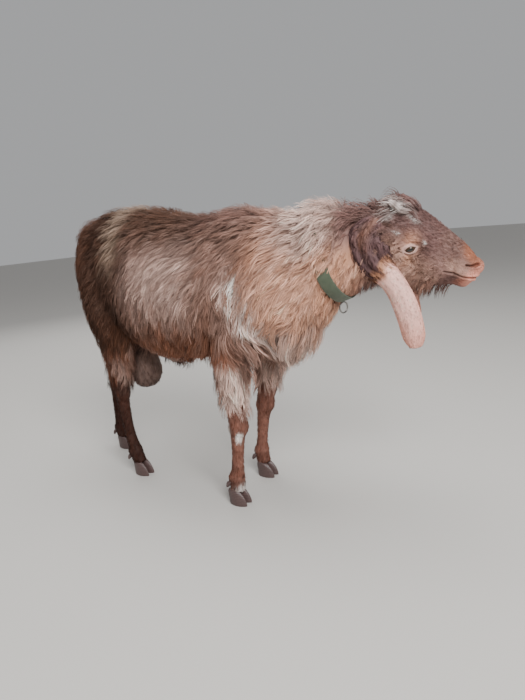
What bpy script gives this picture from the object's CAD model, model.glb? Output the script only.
# %% [markdown]
# # A shaggy nubian goat, standing still
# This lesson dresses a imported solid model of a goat. The solids give its size and outline. Here
# they get one smooth skin, a coat of many small tufts, ears, eyes, horn stumps, claws and a collar.
# The first cell loads the solids as a fixed frame and keeps their box, to measure against later.

# %% Load the solid model
import math
from collections import namedtuple

import bmesh
import bpy
import numpy as np
from mathutils import Matrix, Vector
from mathutils.bvhtree import BVHTree
from mathutils.kdtree import KDTree


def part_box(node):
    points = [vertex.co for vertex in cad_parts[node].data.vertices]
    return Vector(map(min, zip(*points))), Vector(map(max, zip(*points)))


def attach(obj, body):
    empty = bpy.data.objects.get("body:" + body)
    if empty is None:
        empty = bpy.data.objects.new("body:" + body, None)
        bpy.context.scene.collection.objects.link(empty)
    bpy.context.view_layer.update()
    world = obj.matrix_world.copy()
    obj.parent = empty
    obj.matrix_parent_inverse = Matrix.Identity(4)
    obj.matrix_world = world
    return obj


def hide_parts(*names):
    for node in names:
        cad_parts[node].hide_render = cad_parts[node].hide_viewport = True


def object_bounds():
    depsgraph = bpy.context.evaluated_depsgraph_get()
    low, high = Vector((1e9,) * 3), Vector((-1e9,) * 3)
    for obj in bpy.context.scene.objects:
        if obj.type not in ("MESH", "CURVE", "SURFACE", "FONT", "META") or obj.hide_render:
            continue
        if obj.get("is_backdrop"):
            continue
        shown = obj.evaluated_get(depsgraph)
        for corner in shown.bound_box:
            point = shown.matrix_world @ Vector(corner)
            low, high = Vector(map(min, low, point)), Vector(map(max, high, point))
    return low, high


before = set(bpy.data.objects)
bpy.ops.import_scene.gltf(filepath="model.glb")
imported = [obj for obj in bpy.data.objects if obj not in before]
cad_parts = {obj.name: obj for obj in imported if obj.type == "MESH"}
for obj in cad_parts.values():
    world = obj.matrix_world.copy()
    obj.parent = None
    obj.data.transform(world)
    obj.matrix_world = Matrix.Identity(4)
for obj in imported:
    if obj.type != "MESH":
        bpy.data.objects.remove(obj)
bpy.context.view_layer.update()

# %% [markdown]
# ## Camera
# The picture was taken from the height of the goat's back, a little ahead of its right shoulder and
# close by, so the near side looks large. A wide lens at the same place gives the same
# perspective; a long lens from further away would flatten the head against the body.
# All places below are in the goat's own frame, which has its zero on the floor under the chest.

# %% Camera
GOAT_SHIFT = Vector((0.0116, 0.0007, 0.0))
CAMERA_PLACE = Vector((0.864, -1.211, 0.780))
CAMERA_LOOK = Vector((-0.530, 0.815, -0.233)).normalized()
CAMERA_UP = Vector((-0.054, 0.243, 0.969))
CAMERA_LENS = 27.05

camera = bpy.data.objects.new("camera", bpy.data.cameras.new("camera"))
bpy.context.scene.collection.objects.link(camera)
bpy.context.scene.camera = camera
camera.data.lens = CAMERA_LENS
camera.data.sensor_width = 36.0
right = CAMERA_LOOK.cross(CAMERA_UP).normalized()
above = right.cross(CAMERA_LOOK)
turn = Matrix((right, above, -CAMERA_LOOK)).transposed().to_4x4()
camera.matrix_world = Matrix.Translation(CAMERA_PLACE + GOAT_SHIFT) @ turn
print("camera at", [round(v, 3) for v in camera.matrix_world.translation])

# %% [markdown]
# ## Floor and light
# A plain pale floor carries the goat, so nothing competes with the coat. Hair needs a large soft
# light from the side and above: it shows the clumps without hard shadows. A weaker one fills the
# far side, and the world adds an even pale sky.

# %% Floor and light
FLOOR_SIZE = 40.0
KEY_LIGHT = ((2.4, -2.0, 2.8), 1.8, 200.0)
FILL_LIGHT = ((-2.8, 1.6, 2.4), 2.6, 40.0)
TOP_LIGHT = ((-0.2, 0.2, 3.6), 2.0, 60.0)
SKY_STRENGTH = 0.42


def add_light(name, place, size, power):
    data = bpy.data.lights.new(name, "AREA")
    data.size = size
    data.energy = power
    light = bpy.data.objects.new(name, data)
    light.location = place
    light.rotation_euler = (Vector((0.0, 0.0, 0.5)) - Vector(place)).to_track_quat("-Z", "Y").to_euler()
    bpy.context.scene.collection.objects.link(light)
    return light


def new_material(name, roughness, **sockets):
    """A material, its tree and its shader, with some of the shader's values set."""
    made = bpy.data.materials.new(name)
    made.use_nodes = True
    shader = made.node_tree.nodes["Principled BSDF"]
    shader.inputs["Roughness"].default_value = roughness
    for key, value in sockets.items():
        shader.inputs[key.replace("_", " ")].default_value = value
    return made, made.node_tree, shader


floor_mesh = bpy.data.meshes.new("floor")
half = FLOOR_SIZE / 2
floor_mesh.from_pydata([(-half, -half, 0), (half, -half, 0), (half, half, 0), (-half, half, 0)], [],
                       [(0, 1, 2, 3)])
floor = bpy.data.objects.new("floor", floor_mesh)
floor_mesh.materials.append(new_material("pale floor", 0.90, Base_Color=(0.54, 0.52, 0.49, 1.0))[0])
bpy.context.scene.collection.objects.link(floor)
floor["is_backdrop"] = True
for name, (place, size, power) in (("key", KEY_LIGHT), ("fill", FILL_LIGHT), ("top", TOP_LIGHT)):
    add_light(name, place, size, power)
world = bpy.context.scene.world or bpy.data.worlds.new("world")
bpy.context.scene.world = world
world.use_nodes = True
world.node_tree.nodes["Background"].inputs["Color"].default_value = (0.97, 0.98, 1.0, 1.0)
world.node_tree.nodes["Background"].inputs["Strength"].default_value = SKY_STRENGTH
print("stage: floor", FLOOR_SIZE, "m and 3 lights")

# %% [markdown]
# ## The body's measures
# The tables give the goat's sections in millimetres: where each lies, how wide and deep it is with
# its coat, and how deep the coat is there. The solids are drawn from the same ones, so the skin
# follows them without any fitting. The skin is drawn in by most of the coat's depth.

# %% Sections of the body
SKIN_SHARE = 0.28
NARROW_TOP = 0.16
HEAD_PLACE = Vector((0.463, 0.067, 0.720))
HEAD_TURN = math.radians(17)
HEAD_DOWN = math.radians(41)
HEAD_LEAN = math.radians(5)


def mm(rows):
    """A table in millimetres as an array in metres."""
    return np.array(rows) / 1000


TORSO = mm([
    (-560, 782, 640, 55, 20), (-536, 814, 570, 104, 22), (-482, 845, 500, 142, 26),
    (-410, 862, 455, 164, 28), (-330, 864, 425, 178, 28), (-240, 855, 402, 196, 28),
    (-150, 832, 400, 205, 28), (-50, 824, 408, 200, 30), (50, 838, 425, 185, 34),
    (130, 828, 425, 172, 38), (200, 812, 432, 152, 40), (255, 785, 476, 128, 40),
    (305, 735, 540, 92, 34), (335, 680, 590, 45, 24),
])
HEAD = mm([
    (-80, 56, -70, 52, 12), (-50, 76, -96, 64, 14), (-10, 86, -104, 68, 14), (30, 87, -102, 64, 12),
    (70, 84, -96, 54, 12), (105, 79, -78, 46, 11), (135, 74, -50, 40, 9), (160, 67, -24, 36, 5),
    (178, 59, -10, 33, 3), (193, 47, 4, 22, 2),
])
NECK = mm([
    (80, 0, 660, 125, 165, 34), (180, 0, 688, 118, 128, 34), (270, 10, 700, 100, 116, 32),
    (340, 26, 702, 89, 111, 30), (400, 43, 706, 82, 106, 26), (440, 56, 712, 72, 90, 18),
])
TAIL = mm([
    (-490, 0, 806, 24, 18, 4), (-538, 0, 808, 26, 19, 6), (-574, 0, 778, 28, 19, 8),
    (-588, 0, 732, 29, 18, 8), (-592, 0, 688, 24, 14, 6), (-590, 0, 655, 10, 6, 2),
])
SHEATH = mm([
    (-300, 0, 425, 30, 22, 4), (-240, 0, 408, 26, 22, 4), (-195, 0, 404, 20, 18, 4),
    (-170, 0, 408, 12, 10, 2),
])
SCROTUM = mm([
    (-392, 0, 520, 22, 22, 1), (-392, 0, 440, 26, 28, 1), (-390, 0, 385, 44, 42, 1),
    (-388, 0, 335, 52, 46, 1), (-388, 0, 300, 40, 34, 1), (-388, 0, 286, 16, 14, 1),
])

# %% [markdown]
# ## The legs' measures
# The four legs stand in different places and bend differently, so each has its own sections, from
# the shoulder or the hip down to the claws. The head is drawn straight in a frame of its own,
# and that frame is then turned, lowered and leaned as a whole.

# %% Sections of the legs
LEGS = {
    "front_right": mm([
        (80, -95, 640, 60, 95, 34), (65, -112, 540, 62, 92, 34), (48, -116, 460, 54, 76, 30),
        (41, -113, 400, 44, 60, 24), (42, -110, 345, 38, 50, 20), (43, -108, 300, 31, 38, 12),
        (43, -107, 250, 27, 28, 5), (38, -106, 205, 21, 21, 3), (29, -105, 130, 17.5, 18.5, 3),
        (21, -105, 66, 22.5, 24, 3), (20, -105, 40, 21.5, 23, 2),
    ]),
    "front_left": mm([
        (70, 95, 640, 60, 95, 34), (55, 110, 540, 62, 92, 34), (42, 110, 460, 54, 76, 30),
        (34, 103, 400, 46, 62, 26), (28, 97, 345, 41, 56, 24), (22, 91, 290, 34, 44, 18),
        (13, 87, 245, 27, 29, 6), (4, 85, 195, 21, 21, 3), (-6, 83, 125, 17.5, 18.5, 3),
        (-9, 80, 66, 22.5, 24, 3), (-2, 78, 40, 21.5, 23, 2),
    ]),
    "rear_right": mm([
        (-430, -80, 720, 64, 96, 26), (-418, -102, 620, 66, 102, 26), (-398, -108, 530, 61, 96, 26),
        (-392, -106, 460, 50, 82, 26), (-402, -100, 400, 40, 66, 24), (-415, -90, 345, 31, 48, 18),
        (-430, -85, 300, 26, 37, 10), (-432, -82, 250, 20.5, 25, 4), (-425, -80, 150, 17.5, 19, 3),
        (-406, -78, 66, 21.5, 23.5, 3), (-398, -76, 40, 20.5, 22.5, 2),
    ]),
    "rear_left": mm([
        (-435, 80, 720, 64, 96, 26), (-440, 98, 620, 66, 104, 26), (-450, 100, 530, 61, 98, 26),
        (-490, 94, 460, 50, 82, 26), (-540, 84, 395, 40, 60, 22), (-590, 76, 345, 31, 44, 16),
        (-620, 71, 300, 26, 36, 8), (-630, 69, 250, 20.5, 24.5, 4), (-634, 67, 150, 17.5, 19, 3),
        (-632, 66, 66, 21.5, 23.5, 3), (-625, 66, 40, 20.5, 22.5, 2),
    ]),
}
HEAD_FRAME = (Matrix.Translation(HEAD_PLACE) @ Matrix.Rotation(HEAD_TURN, 4, "Z")
              @ Matrix.Rotation(HEAD_DOWN, 4, "Y") @ Matrix.Rotation(HEAD_LEAN, 4, "X"))
print("sections:", len(TORSO), "torso,", len(HEAD), "head,", sum(map(len, LEGS.values())), "legs")

# %% [markdown]
# ## Drawing the forms
# Each part of the body is a loft: a row of oval rings on a smooth path, joined with faces.
# Balls add the cheeks, brows and lips. One loft alone would show a seam wherever two parts meet,
# so all of them go into one mesh that the next step melts together.

# %% Lofts
RING_SIDES = 40
LOFT_STEPS = 5
HEAD_COAT = 0.010


def smooth_rows(rows, steps):
    """More rows between the given ones, on a curve that passes through each of them."""
    table = np.array(rows, dtype=float)
    padded = np.vstack([2 * table[0] - table[1], table, 2 * table[-1] - table[-2]])
    result = []
    for i in range(len(table) - 1):
        a, b, c, d = padded[i:i + 4]
        for j in range(steps):
            t = j / steps
            row = b + 0.5 * t * (c - a + t * (2 * a - 5 * b + 4 * c - d + t * (3 * (b - c) + d - a)))
            result.append(row)
    result.append(table[-1])
    return np.array(result)


def ring(centre, side, up, half_width, rise, drop, fullness=2.0):
    """An oval ring, which may rise further than it drops and be fuller than an ellipse."""
    turn = np.linspace(0.0, 2 * math.pi, RING_SIDES, endpoint=False)
    across = np.sign(np.cos(turn)) * np.abs(np.cos(turn)) ** (2 / fullness)
    high = np.sign(np.sin(turn)) * np.abs(np.sin(turn)) ** (2 / fullness)
    reach = np.where(high > 0, rise, drop)
    return np.array(centre) + np.outer(across * half_width, side) + np.outer(high * reach, up)


def loft(rings, ends="capped"):
    """Vertices and faces of a row of rings, whose two ends are capped, open or joined."""
    count, rows = len(rings[0]), len(rings)
    faces = []
    for k in range(rows if ends == "joined" else rows - 1):
        after = (k + 1) % rows
        for i in range(count):
            j = (i + 1) % count
            faces.append((k * count + i, k * count + j, after * count + j, after * count + i))
    if ends == "capped":
        faces.append(tuple(range(count - 1, -1, -1)))
        faces.append(tuple(range((rows - 1) * count, rows * count)))
    return np.vstack(rings), faces


def tube(stations, share):
    """A limb: rings square to a path, each kept to its share of the coat's depth."""
    rows = smooth_rows(stations, LOFT_STEPS)
    rings = []
    for i, row in enumerate(rows):
        along = rows[min(i + 1, len(rows) - 1)][:3] - rows[max(i - 1, 0)][:3]
        along = along / np.linalg.norm(along)
        side = np.array((0.0, 1.0, 0.0)) - along * along[1]
        side = side / np.linalg.norm(side)
        less = (1 - share) * row[5]
        deep = row[4] - less
        rings.append(ring(row[:3], side, np.cross(along, side), row[3] - less, deep, deep))
    return loft(rings)


def barrel(stations, share, low=0.46, fullness=2.25):
    """A body form with upright rings, whose widest level lies low between its bottom and top."""
    rings = []
    for x, top, bottom, half_width, coat in smooth_rows(stations, LOFT_STEPS):
        less = (1 - share) * coat
        middle = bottom + low * (top - bottom)
        points = ring((x, 0, middle), (0, 1, 0), (0, 0, 1), half_width - less, top - middle - less,
                      middle - bottom - less, fullness)
        points[:, 1] *= 1 - NARROW_TOP * np.maximum(0.0, (points[:, 2] - middle) / (top - middle))
        rings.append(points)
    return loft(rings)


print("lofts with", RING_SIDES, "sides and", LOFT_STEPS, "steps between two sections")


# %% Balls and joined forms
def ball(centre, radii, turn=(0, 0, 0), detail=(28, 18)):
    """A ball with its own reach along each axis, turned by angles in degrees."""
    bm = bmesh.new()
    bmesh.ops.create_uvsphere(bm, u_segments=detail[0], v_segments=detail[1], radius=1.0)
    place = Matrix.Translation(centre)
    for axis, angle in zip("XYZ", turn):
        place = place @ Matrix.Rotation(math.radians(angle), 4, axis)
    bmesh.ops.transform(bm, matrix=place @ Matrix.Diagonal((*radii, 1.0)), verts=bm.verts)
    points = np.array([v.co for v in bm.verts])
    faces = [tuple(v.index for v in f.verts) for f in bm.faces]
    bm.free()
    return points, faces


def moved(form, matrix):
    """A form's vertices and faces, carried over by a matrix."""
    points, faces = form
    turn = np.array(matrix.to_3x3())
    return points @ turn.T + np.array(matrix.translation), faces


def joined(forms):
    """Several forms as one list of vertices and one list of faces."""
    points, faces, start = [], [], 0
    for some, loops in forms:
        points.append(some)
        faces.extend(tuple(i + start for i in loop) for loop in loops)
        start += len(some)
    return np.vstack(points), faces


print("a ball has", len(ball((0, 0, 0), (1, 1, 1))[0]), "points")


# %% Forms of body and head
def leg_point(name, z):
    """The middle of a leg at a height."""
    rows = LEGS[name][::-1]
    return np.array([np.interp(z, rows[:, 2], rows[:, i]) for i in range(3)])


FETLOCK = (0.080, -0.003, (0.0245, 0.0225, 0.021), 0)
KNOBS = {
    "front": (FETLOCK, (0.243, 0.006, (0.0250, 0.0255, 0.034), 0),
              (0.232, -0.022, (0.0085, 0.010, 0.016), 0)),
    "rear": (FETLOCK, (0.285, 0.004, (0.0260, 0.0235, 0.036), 0),
             (0.322, -0.024, (0.0140, 0.0120, 0.030), 14)),
}


def joint_forms(name):
    """The bony knobs of a leg: the fetlock, and the knee or the hock with the bone behind it."""
    return [ball(leg_point(name, z) + (ahead, 0, 0), radii, turn=(0, tilt, 0))
            for z, ahead, radii, tilt in KNOBS[name.split("_")[0]]]


def body_forms(share):
    forms = [barrel(TORSO, share), tube(NECK, share), tube(SHEATH, share), tube(SCROTUM, 1.0),
             tube(TAIL, 0.5)]
    for name, stations in LEGS.items():
        forms.append(tube(stations, share))
        forms.extend(joint_forms(name))
    return forms


def head_forms(share):
    less = (1 - share) * HEAD_COAT
    forms = [barrel(HEAD, share, low=0.48, fullness=2.1)]
    for s in (-1, 1):
        forms.append(ball((0.024, s * 0.042, 0.018), (0.036, 0.022 - less / 2, 0.020)))
        forms.append(ball((0.020, s * 0.036, -0.045), (0.055, 0.034 - less, 0.050)))
        forms.append(ball((0.158, s * 0.015, 0.024), (0.034, 0.024, 0.028)))
        forms.append(ball((-0.034, s * 0.056, -0.026), (0.026, 0.018, 0.036)))
    forms.append(ball((-0.030, 0.0, 0.052 - less), (0.052, 0.046, 0.030)))
    forms.append(ball((0.168, 0.0, 0.004), (0.026, 0.024, 0.018)))
    forms.append(ball((0.177, 0.0, 0.047), (0.020, 0.024, 0.018)))
    return [moved(form, HEAD_FRAME) for form in forms]


forms = joined([*body_forms(SKIN_SHARE), *head_forms(SKIN_SHARE)])
print("forms:", len(forms[0]), "points")

# %% [markdown]
# ## One skin
# A voxel remesh melts the forms into one closed surface, as skin covers an animal without seams.
# It cuts the space into small cubes and wraps what is inside. Smaller cubes keep more shape but
# cost more faces, so the cubes are 4 mm and only the head is split finer afterwards.

# %% Melt the forms into one skin
SKIN_VOXEL = 0.0042
SKIN_SOFTEN = 6


def new_object(name, points, faces):
    mesh = bpy.data.meshes.new(name)
    mesh.from_pydata(np.asarray(points).tolist(), [], faces)
    made = bpy.data.objects.new(name, mesh)
    bpy.context.scene.collection.objects.link(made)
    return made


def apply_modifiers(thing):
    graph = bpy.context.evaluated_depsgraph_get()
    mesh = bpy.data.meshes.new_from_object(thing.evaluated_get(graph))
    thing.modifiers.clear()
    thing.data = mesh


def get_points(mesh):
    flat = np.empty(len(mesh.vertices) * 3)
    mesh.vertices.foreach_get("co", flat)
    return flat.reshape(-1, 3)


def set_points(mesh, points):
    mesh.vertices.foreach_set("co", np.asarray(points, dtype=np.float32).ravel())
    mesh.update()


def get_normals(mesh):
    flat = np.empty(len(mesh.vertices) * 3, dtype=np.float32)
    mesh.vertex_normals.foreach_get("vector", flat)
    return flat.reshape(-1, 3).astype(float)


skin = new_object("skin", *forms)
remesh = skin.modifiers.new("Melt", "REMESH")
remesh.mode = "VOXEL"
remesh.voxel_size = SKIN_VOXEL
soften = skin.modifiers.new("Soften", "SMOOTH")
soften.factor = 0.5
soften.iterations = SKIN_SOFTEN
apply_modifiers(skin)
print("skin:", len(skin.data.polygons), "faces of", SKIN_VOXEL * 1000, "mm")

# %% [markdown]
# ## The head's finer skin
# Lids, nostrils and lips are only a few millimetres deep. The faces of the head are split in four,
# and those round the eyes, the mouth and the nose once more, so that there is skin to shape.

# %% Split the head's faces
HEAD_AXES = np.array(HEAD_FRAME.to_3x3())
HEAD_INVERSE = np.array(HEAD_FRAME.inverted())
FACE_MIDDLE = (0.06, 0, 0)
EYE_PLACE = np.array((0.0285, 0.0500, -0.0055))
MUZZLE_START = 0.108


def in_head(points):
    """Places in the head's own frame: x along the face, z out of the brow."""
    return points @ HEAD_INVERSE[:3, :3].T + HEAD_INVERSE[:3, 3]


def step(value, low, high):
    """A soft step: 0 at the low value, 1 at the high one."""
    t = np.clip((value - low) / (high - low), 0.0, 1.0)
    return t * t * (3 - 2 * t)


def from_face(at):
    """How far each place in the head's frame is from the middle of the face."""
    return np.linalg.norm(at - FACE_MIDDLE, axis=1)


def near_eye(at, reach):
    away = np.abs(at - (EYE_PLACE[0], 0, EYE_PLACE[2])) - (0, EYE_PLACE[1], 0)
    return np.linalg.norm(away, axis=1) < reach


def split_faces(mesh, chosen):
    bm = bmesh.new()
    bm.from_mesh(mesh)
    bm.faces.ensure_lookup_table()
    edges = {edge for i in np.flatnonzero(chosen) for edge in bm.faces[int(i)].edges}
    bmesh.ops.subdivide_edges(bm, edges=list(edges), cuts=1, use_grid_fill=True)
    bm.to_mesh(mesh)
    bm.free()


def face_centres(mesh):
    flat = np.empty(len(mesh.polygons) * 3)
    mesh.polygons.foreach_get("center", flat)
    return flat.reshape(-1, 3)


def soften_points(mesh, weight, rounds):
    """Move each point towards the middle of its neighbours, by its own weight."""
    pairs = np.empty(len(mesh.edges) * 2, dtype=int)
    mesh.edges.foreach_get("vertices", pairs)
    first, second = pairs[0::2], pairs[1::2]
    points = get_points(mesh)
    count = np.bincount(pairs, minlength=len(points))
    for _ in range(rounds):
        total = np.zeros_like(points)
        np.add.at(total, first, points[second])
        np.add.at(total, second, points[first])
        points += (total / count[:, None] - points) * weight[:, None]
    set_points(mesh, points)


at = in_head(face_centres(skin.data))
split_faces(skin.data, (at[:, 0] > -0.05) & (from_face(at) < 0.20))
at = in_head(face_centres(skin.data))
split_faces(skin.data, (from_face(at) < 0.19) & ((at[:, 0] > MUZZLE_START) | near_eye(at, 0.030)))
at = in_head(get_points(skin.data))
soften_points(skin.data, 0.5 * ((at[:, 0] > -0.04) & (np.linalg.norm(at, axis=1) < 0.25)), 8)
print("skin with a finer head:", len(skin.data.polygons), "faces")

# %% [markdown]
# ## Mouth, nostrils and folds
# A goat's mouth is one long line that curves up at its front, with soft lips on both sides. The
# nostrils are slanting commas with a raised rim. Each is drawn as a line near the skin. Points
# close to the line sink in, and those a little further off swell, as skin does beside a fold.
# The folds round the eye are drawn in the eye's own axes: along its opening, and across it.

# %% Shape the face
MOUTH = mm([
    (126, 40, -2), (136, 38, 3), (149, 37, 9), (163, 37, 13.5), (178, 34, 21), (192, 21, 29),
    (200, 0, 32),
])
NOSTRIL = mm([
    (154, 33, 39), (163, 31.5, 45), (170.5, 25.5, 50.5), (176, 18, 56),
])
LIP_GROOVE = mm([
    (190, 0, 56), (200, 0, 44), (203, 0, 32),
])
JAW_FOLDS = [
    mm([(118, 40, 30), (134, 38, 20), (146, 38, 6)]),
    mm([(60, 52, -30), (85, 47, -20), (108, 44, -12)]),
]
MOUTH_DEPTH = 0.0046
LIP_AWAY = 0.0050
LIP_HEIGHT = 0.0026
NOSTRIL_DEPTH = 0.0085
RIM_HEIGHT = 0.0024
NOSE_ARCH = 0.006
EYE_RADIUS = 0.0145
EYE_LOOK = np.array((0.20, 0.97, 0.06)) / np.linalg.norm((0.20, 0.97, 0.06))
EYE_LONG = np.array((0.56, -0.13, 0.82))
EYE_FOLDS = [
    mm([(-21, -1), (-12, 12.5), (3, 15.5), (18, 10.5), (29, 3)]),
    mm([(-17, -12), (-4, -16), (12, -13.5), (26, -4)]),
    mm([(-13, -21), (2, -24.5), (18, -20.5)]),
    mm([(14, 0.5), (22, 1), (30, 1)]),
    mm([(31, 1), (40, -6), (50, -16)]),
]


def eye_axes(s):
    """The ways that an eye looks, that its opening runs, and square to both."""
    look = EYE_LOOK * (1, s, 1)
    long = EYE_LONG * (1, s, 1)
    long = long - look * (long @ look)
    long = long / np.linalg.norm(long)
    high = np.cross(look, long)
    return look, long, high if high[2] > 0 else -high


def in_eye(at, s=1):
    """Places in the eye's axes: along its opening, across it, and out of it."""
    look, long, high = eye_axes(s)
    away = at - EYE_PLACE * (1, s, 1)
    return away @ long, away @ high, away @ look


def line_distance(points, line):
    """How far each point is from a row of straight pieces."""
    best = np.full(len(points), np.inf)
    for a, b in zip(line, line[1:]):
        way = b - a
        t = np.clip((points - a) @ way / (way @ way), 0.0, 1.0)
        best = np.minimum(best, np.linalg.norm(points - a - t[:, None] * way, axis=1))
    return best


def bump(distance, width):
    return np.exp(-(distance / width) ** 2)


def fold_sides(at):
    """Both sides of the head laid on one, so that a line is drawn only once."""
    return np.column_stack([at[:, 0], np.abs(at[:, 1]), at[:, 2]])


def laid_line(line, tree):
    """A line moved to the nearest places on the skin, in the head's frame."""
    spots = [tree.find_nearest(HEAD_FRAME @ Vector(p))[0] for p in smooth_rows(line, 3).tolist()]
    return fold_sides(in_head(np.array([list(spot) for spot in spots])))


def narrow_muzzle(points):
    """Draw in the sides of the nose's top and of the chin, and arch the bridge of the nose."""
    at = in_head(points)
    x, z = at[:, 0], at[:, 2]
    top = 0.26 * step(x, 0.115, 0.175) * step(z, 0.022, 0.062)
    chin = 0.34 * step(x, 0.130, 0.180) * step(z, 0.020, -0.012)
    arch = NOSE_ARCH * bump(x - 0.125, 0.050) * step(z, 0.015, 0.055)
    return points - np.outer(at[:, 1] * (top + chin), HEAD_AXES[:, 1]) + np.outer(arch, HEAD_AXES[:, 2])


def groove(points, line, depth, width):
    """How far a groove along a line sinks the skin at each point."""
    return depth * bump(line_distance(points, line), width)


def shape_face(points, normals, tree):
    """Sink the mouth, the nostrils and the folds, and raise the lips and rims beside them."""
    at = fold_sides(in_head(points))
    mouth, nostril = line_distance(at, MOUTH_LINE), line_distance(at, NOSTRIL_LINE)
    lips = LIP_HEIGHT * bump(mouth - LIP_AWAY, 0.0034) * step(at[:, 0], 0.115, 0.150)
    wide = 0.0014 + 0.0022 * step(at[:, 0], 0.158, 0.172)
    rise = lips - MOUTH_DEPTH * bump(mouth, 0.0015)
    rise += RIM_HEIGHT * bump(nostril - wide - 0.0032, 0.0022) - NOSTRIL_DEPTH * bump(nostril, wide)
    rise -= groove(at, laid_line(LIP_GROOVE, tree), 0.0018, 0.0014)
    for fold in JAW_FOLDS:
        rise -= groove(at, laid_line(fold, tree), 0.0012, 0.0030)
    along, high, deep = in_eye(at)
    for fold in EYE_FOLDS:
        away = line_distance(np.column_stack([along, high]), smooth_rows(fold, 3))
        away += np.maximum(0.0, np.abs(deep) - 0.025)
        rise += 0.0013 * bump(away - 0.0034, 0.0024) - 0.0016 * bump(away, 0.0013)
    return points + normals * rise[:, None], rise


mesh = skin.data
set_points(mesh, narrow_muzzle(get_points(mesh)))
plain_skin = BVHTree.FromObject(skin, bpy.context.evaluated_depsgraph_get())
MOUTH_LINE = laid_line(MOUTH, plain_skin)
NOSTRIL_LINE = laid_line(NOSTRIL, plain_skin)
shaped, rise = shape_face(get_points(mesh), get_normals(mesh), plain_skin)
set_points(mesh, shaped)
print("face: deepest fold", round(float(-rise.min()) * 1000, 1), "mm")

# %% [markdown]
# ## Eyes and lids
# A goat's eye looks sideways. Its lids are soft pale rims that hug the ball and run to a long
# corner at the front. The skin round the ball is brought to the lids' height and opened over
# the ball. Each pair of lids is a ring in the same mesh: its inner edge lies on the ball, its outer
# edge dives under the skin.

# %% Sink the sockets and lay the lids
OPENING = (0.0118, 0.0072)
LID_HEIGHT = 0.0022
LID_FLOOR = 0.0050
LID_STEPS = [(0.99, -0.0004), (1.01, 0.0009), (1.06, 0.0021), (1.16, 0.0031), (1.30, 0.0034),
             (1.44, 0.0028), (1.56, 0.0018), (1.74, -0.0012)]
LID_SIDES = 56
SOCKET_DEPTH = 0.007


def lid_outline(turn, size):
    """An almond: wide in its middle, with a long corner at the front and a short one behind."""
    corner = np.maximum(0.0, np.cos(turn)) ** 8
    long = np.cos(turn) * OPENING[0] * size * (1 + 0.16 * corner)
    high = np.sin(turn) * OPENING[1] * size * np.where(np.sin(turn) > 0, 1.0, 0.88)
    return long, high * (1 - 0.22 * np.cos(turn) ** 4)


def ball_height(a, b):
    return np.sqrt(np.maximum(EYE_RADIUS ** 2 - a * a - b * b, LID_FLOOR ** 2))


def lid_ring(s):
    """Both lids of one eye, as a soft rim from the ball to under the skin."""
    look, long, high = eye_axes(s)
    rings = []
    for size, over in LID_STEPS:
        a, b = lid_outline(np.linspace(0, 2 * math.pi, LID_SIDES, endpoint=False), size)
        spot = EYE_PLACE * (1, s, 1) + np.outer(a, long) + np.outer(b, high)
        spot = spot + np.outer(ball_height(a, b) + over, look)
        rings.append(np.array([HEAD_FRAME @ Vector(p) for p in spot]))
    return loft(rings, ends="open")


def open_socket(points, s):
    """Bring the skin round an eye to the height of its lids, and sink it behind the ball."""
    a, b, deep = in_eye(in_head(points), s)
    inside = np.hypot(a / OPENING[0], b / OPENING[1])
    close = (np.abs(deep) < 0.028) & (inside < 2.8)
    lid = ball_height(a, b) + LID_HEIGHT
    target = deep + (lid - deep) * step(inside, 2.7, 1.6)
    target -= SOCKET_DEPTH * step(inside, 1.50, 1.30)
    way = HEAD_AXES @ eye_axes(s)[0]
    return points + np.outer((target - deep) * close, way)


points = get_points(skin.data)
for s in (-1, 1):
    points = open_socket(points, s)
set_points(skin.data, points)
lids = joined([lid_ring(s) for s in (-1, 1)])
print("lids:", len(lids[1]), "faces")

# %% [markdown]
# ## The collar's path
# The collar is a flat band of webbing. At the throat it lies on top of the coat, and higher up the
# neck's long hair falls over it. Its solid gives the path. The neck's skin swells until it rests in the
# band, as soft flesh does, so that no gap stays between them.

# %% Measure the collar's path
COLLAR_PLACE = Vector((0.330, 0.026, 0.590))
COLLAR_LEAN = math.radians(20)
COLLAR_WIDTH = 0.034
COLLAR_RISE = 0.11
THROAT_SAG = 0.045
NECK_REACH = (0.04, 0.20)
SKIN_UNDER_BAND = 0.003

collar_normal = Vector((math.cos(COLLAR_LEAN), 0.08, math.sin(COLLAR_LEAN))).normalized()
collar_up = (Vector((0, 0, 1)) - collar_normal * collar_normal.z).normalized()
collar_across = collar_up.cross(collar_normal)
collar_middle = np.array(COLLAR_PLACE + collar_up * COLLAR_RISE)
COLLAR_AXES = np.array((collar_across, collar_up, collar_normal))


def in_collar(points):
    """Angle round the collar, distance from its middle, and place across its width."""
    at = (points - collar_middle) @ COLLAR_AXES.T
    return np.arctan2(at[..., 1], at[..., 0]), np.hypot(at[..., 0], at[..., 1]), at[..., 2]


node_points = get_points(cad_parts["collar"].data) - np.array(GOAT_SHIFT)
angles, reaches, _ = in_collar(node_points)
order = np.argsort(angles)
stops = np.unique(np.round(angles[order], 2))
inner = np.array([reaches[np.abs(angles - stop) < 0.02].min() for stop in stops])


def collar_reach(angle):
    return np.interp(angle, stops, inner, period=2 * math.pi)


def collar_out(angle):
    """The way out of the neck at each angle round the collar."""
    return np.cos(angle)[..., None] * COLLAR_AXES[0] + np.sin(angle)[..., None] * COLLAR_AXES[1]


def fill_collar(points):
    """Let the neck swell until it rests in the band."""
    angle, reach, across = in_collar(points)
    band = np.exp(-(across / THROAT_SAG) ** 2) * (reach > NECK_REACH[0]) * (reach < NECK_REACH[1])
    need = np.maximum(0.0, collar_reach(angle) - SKIN_UNDER_BAND - reach) * band
    return points + collar_out(angle) * need[:, None]


sagged = fill_collar(get_points(skin.data))
print("neck filled by up to", round(float(np.abs(sagged - get_points(skin.data)).max()) * 1000, 1), "mm")
set_points(skin.data, sagged)

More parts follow.
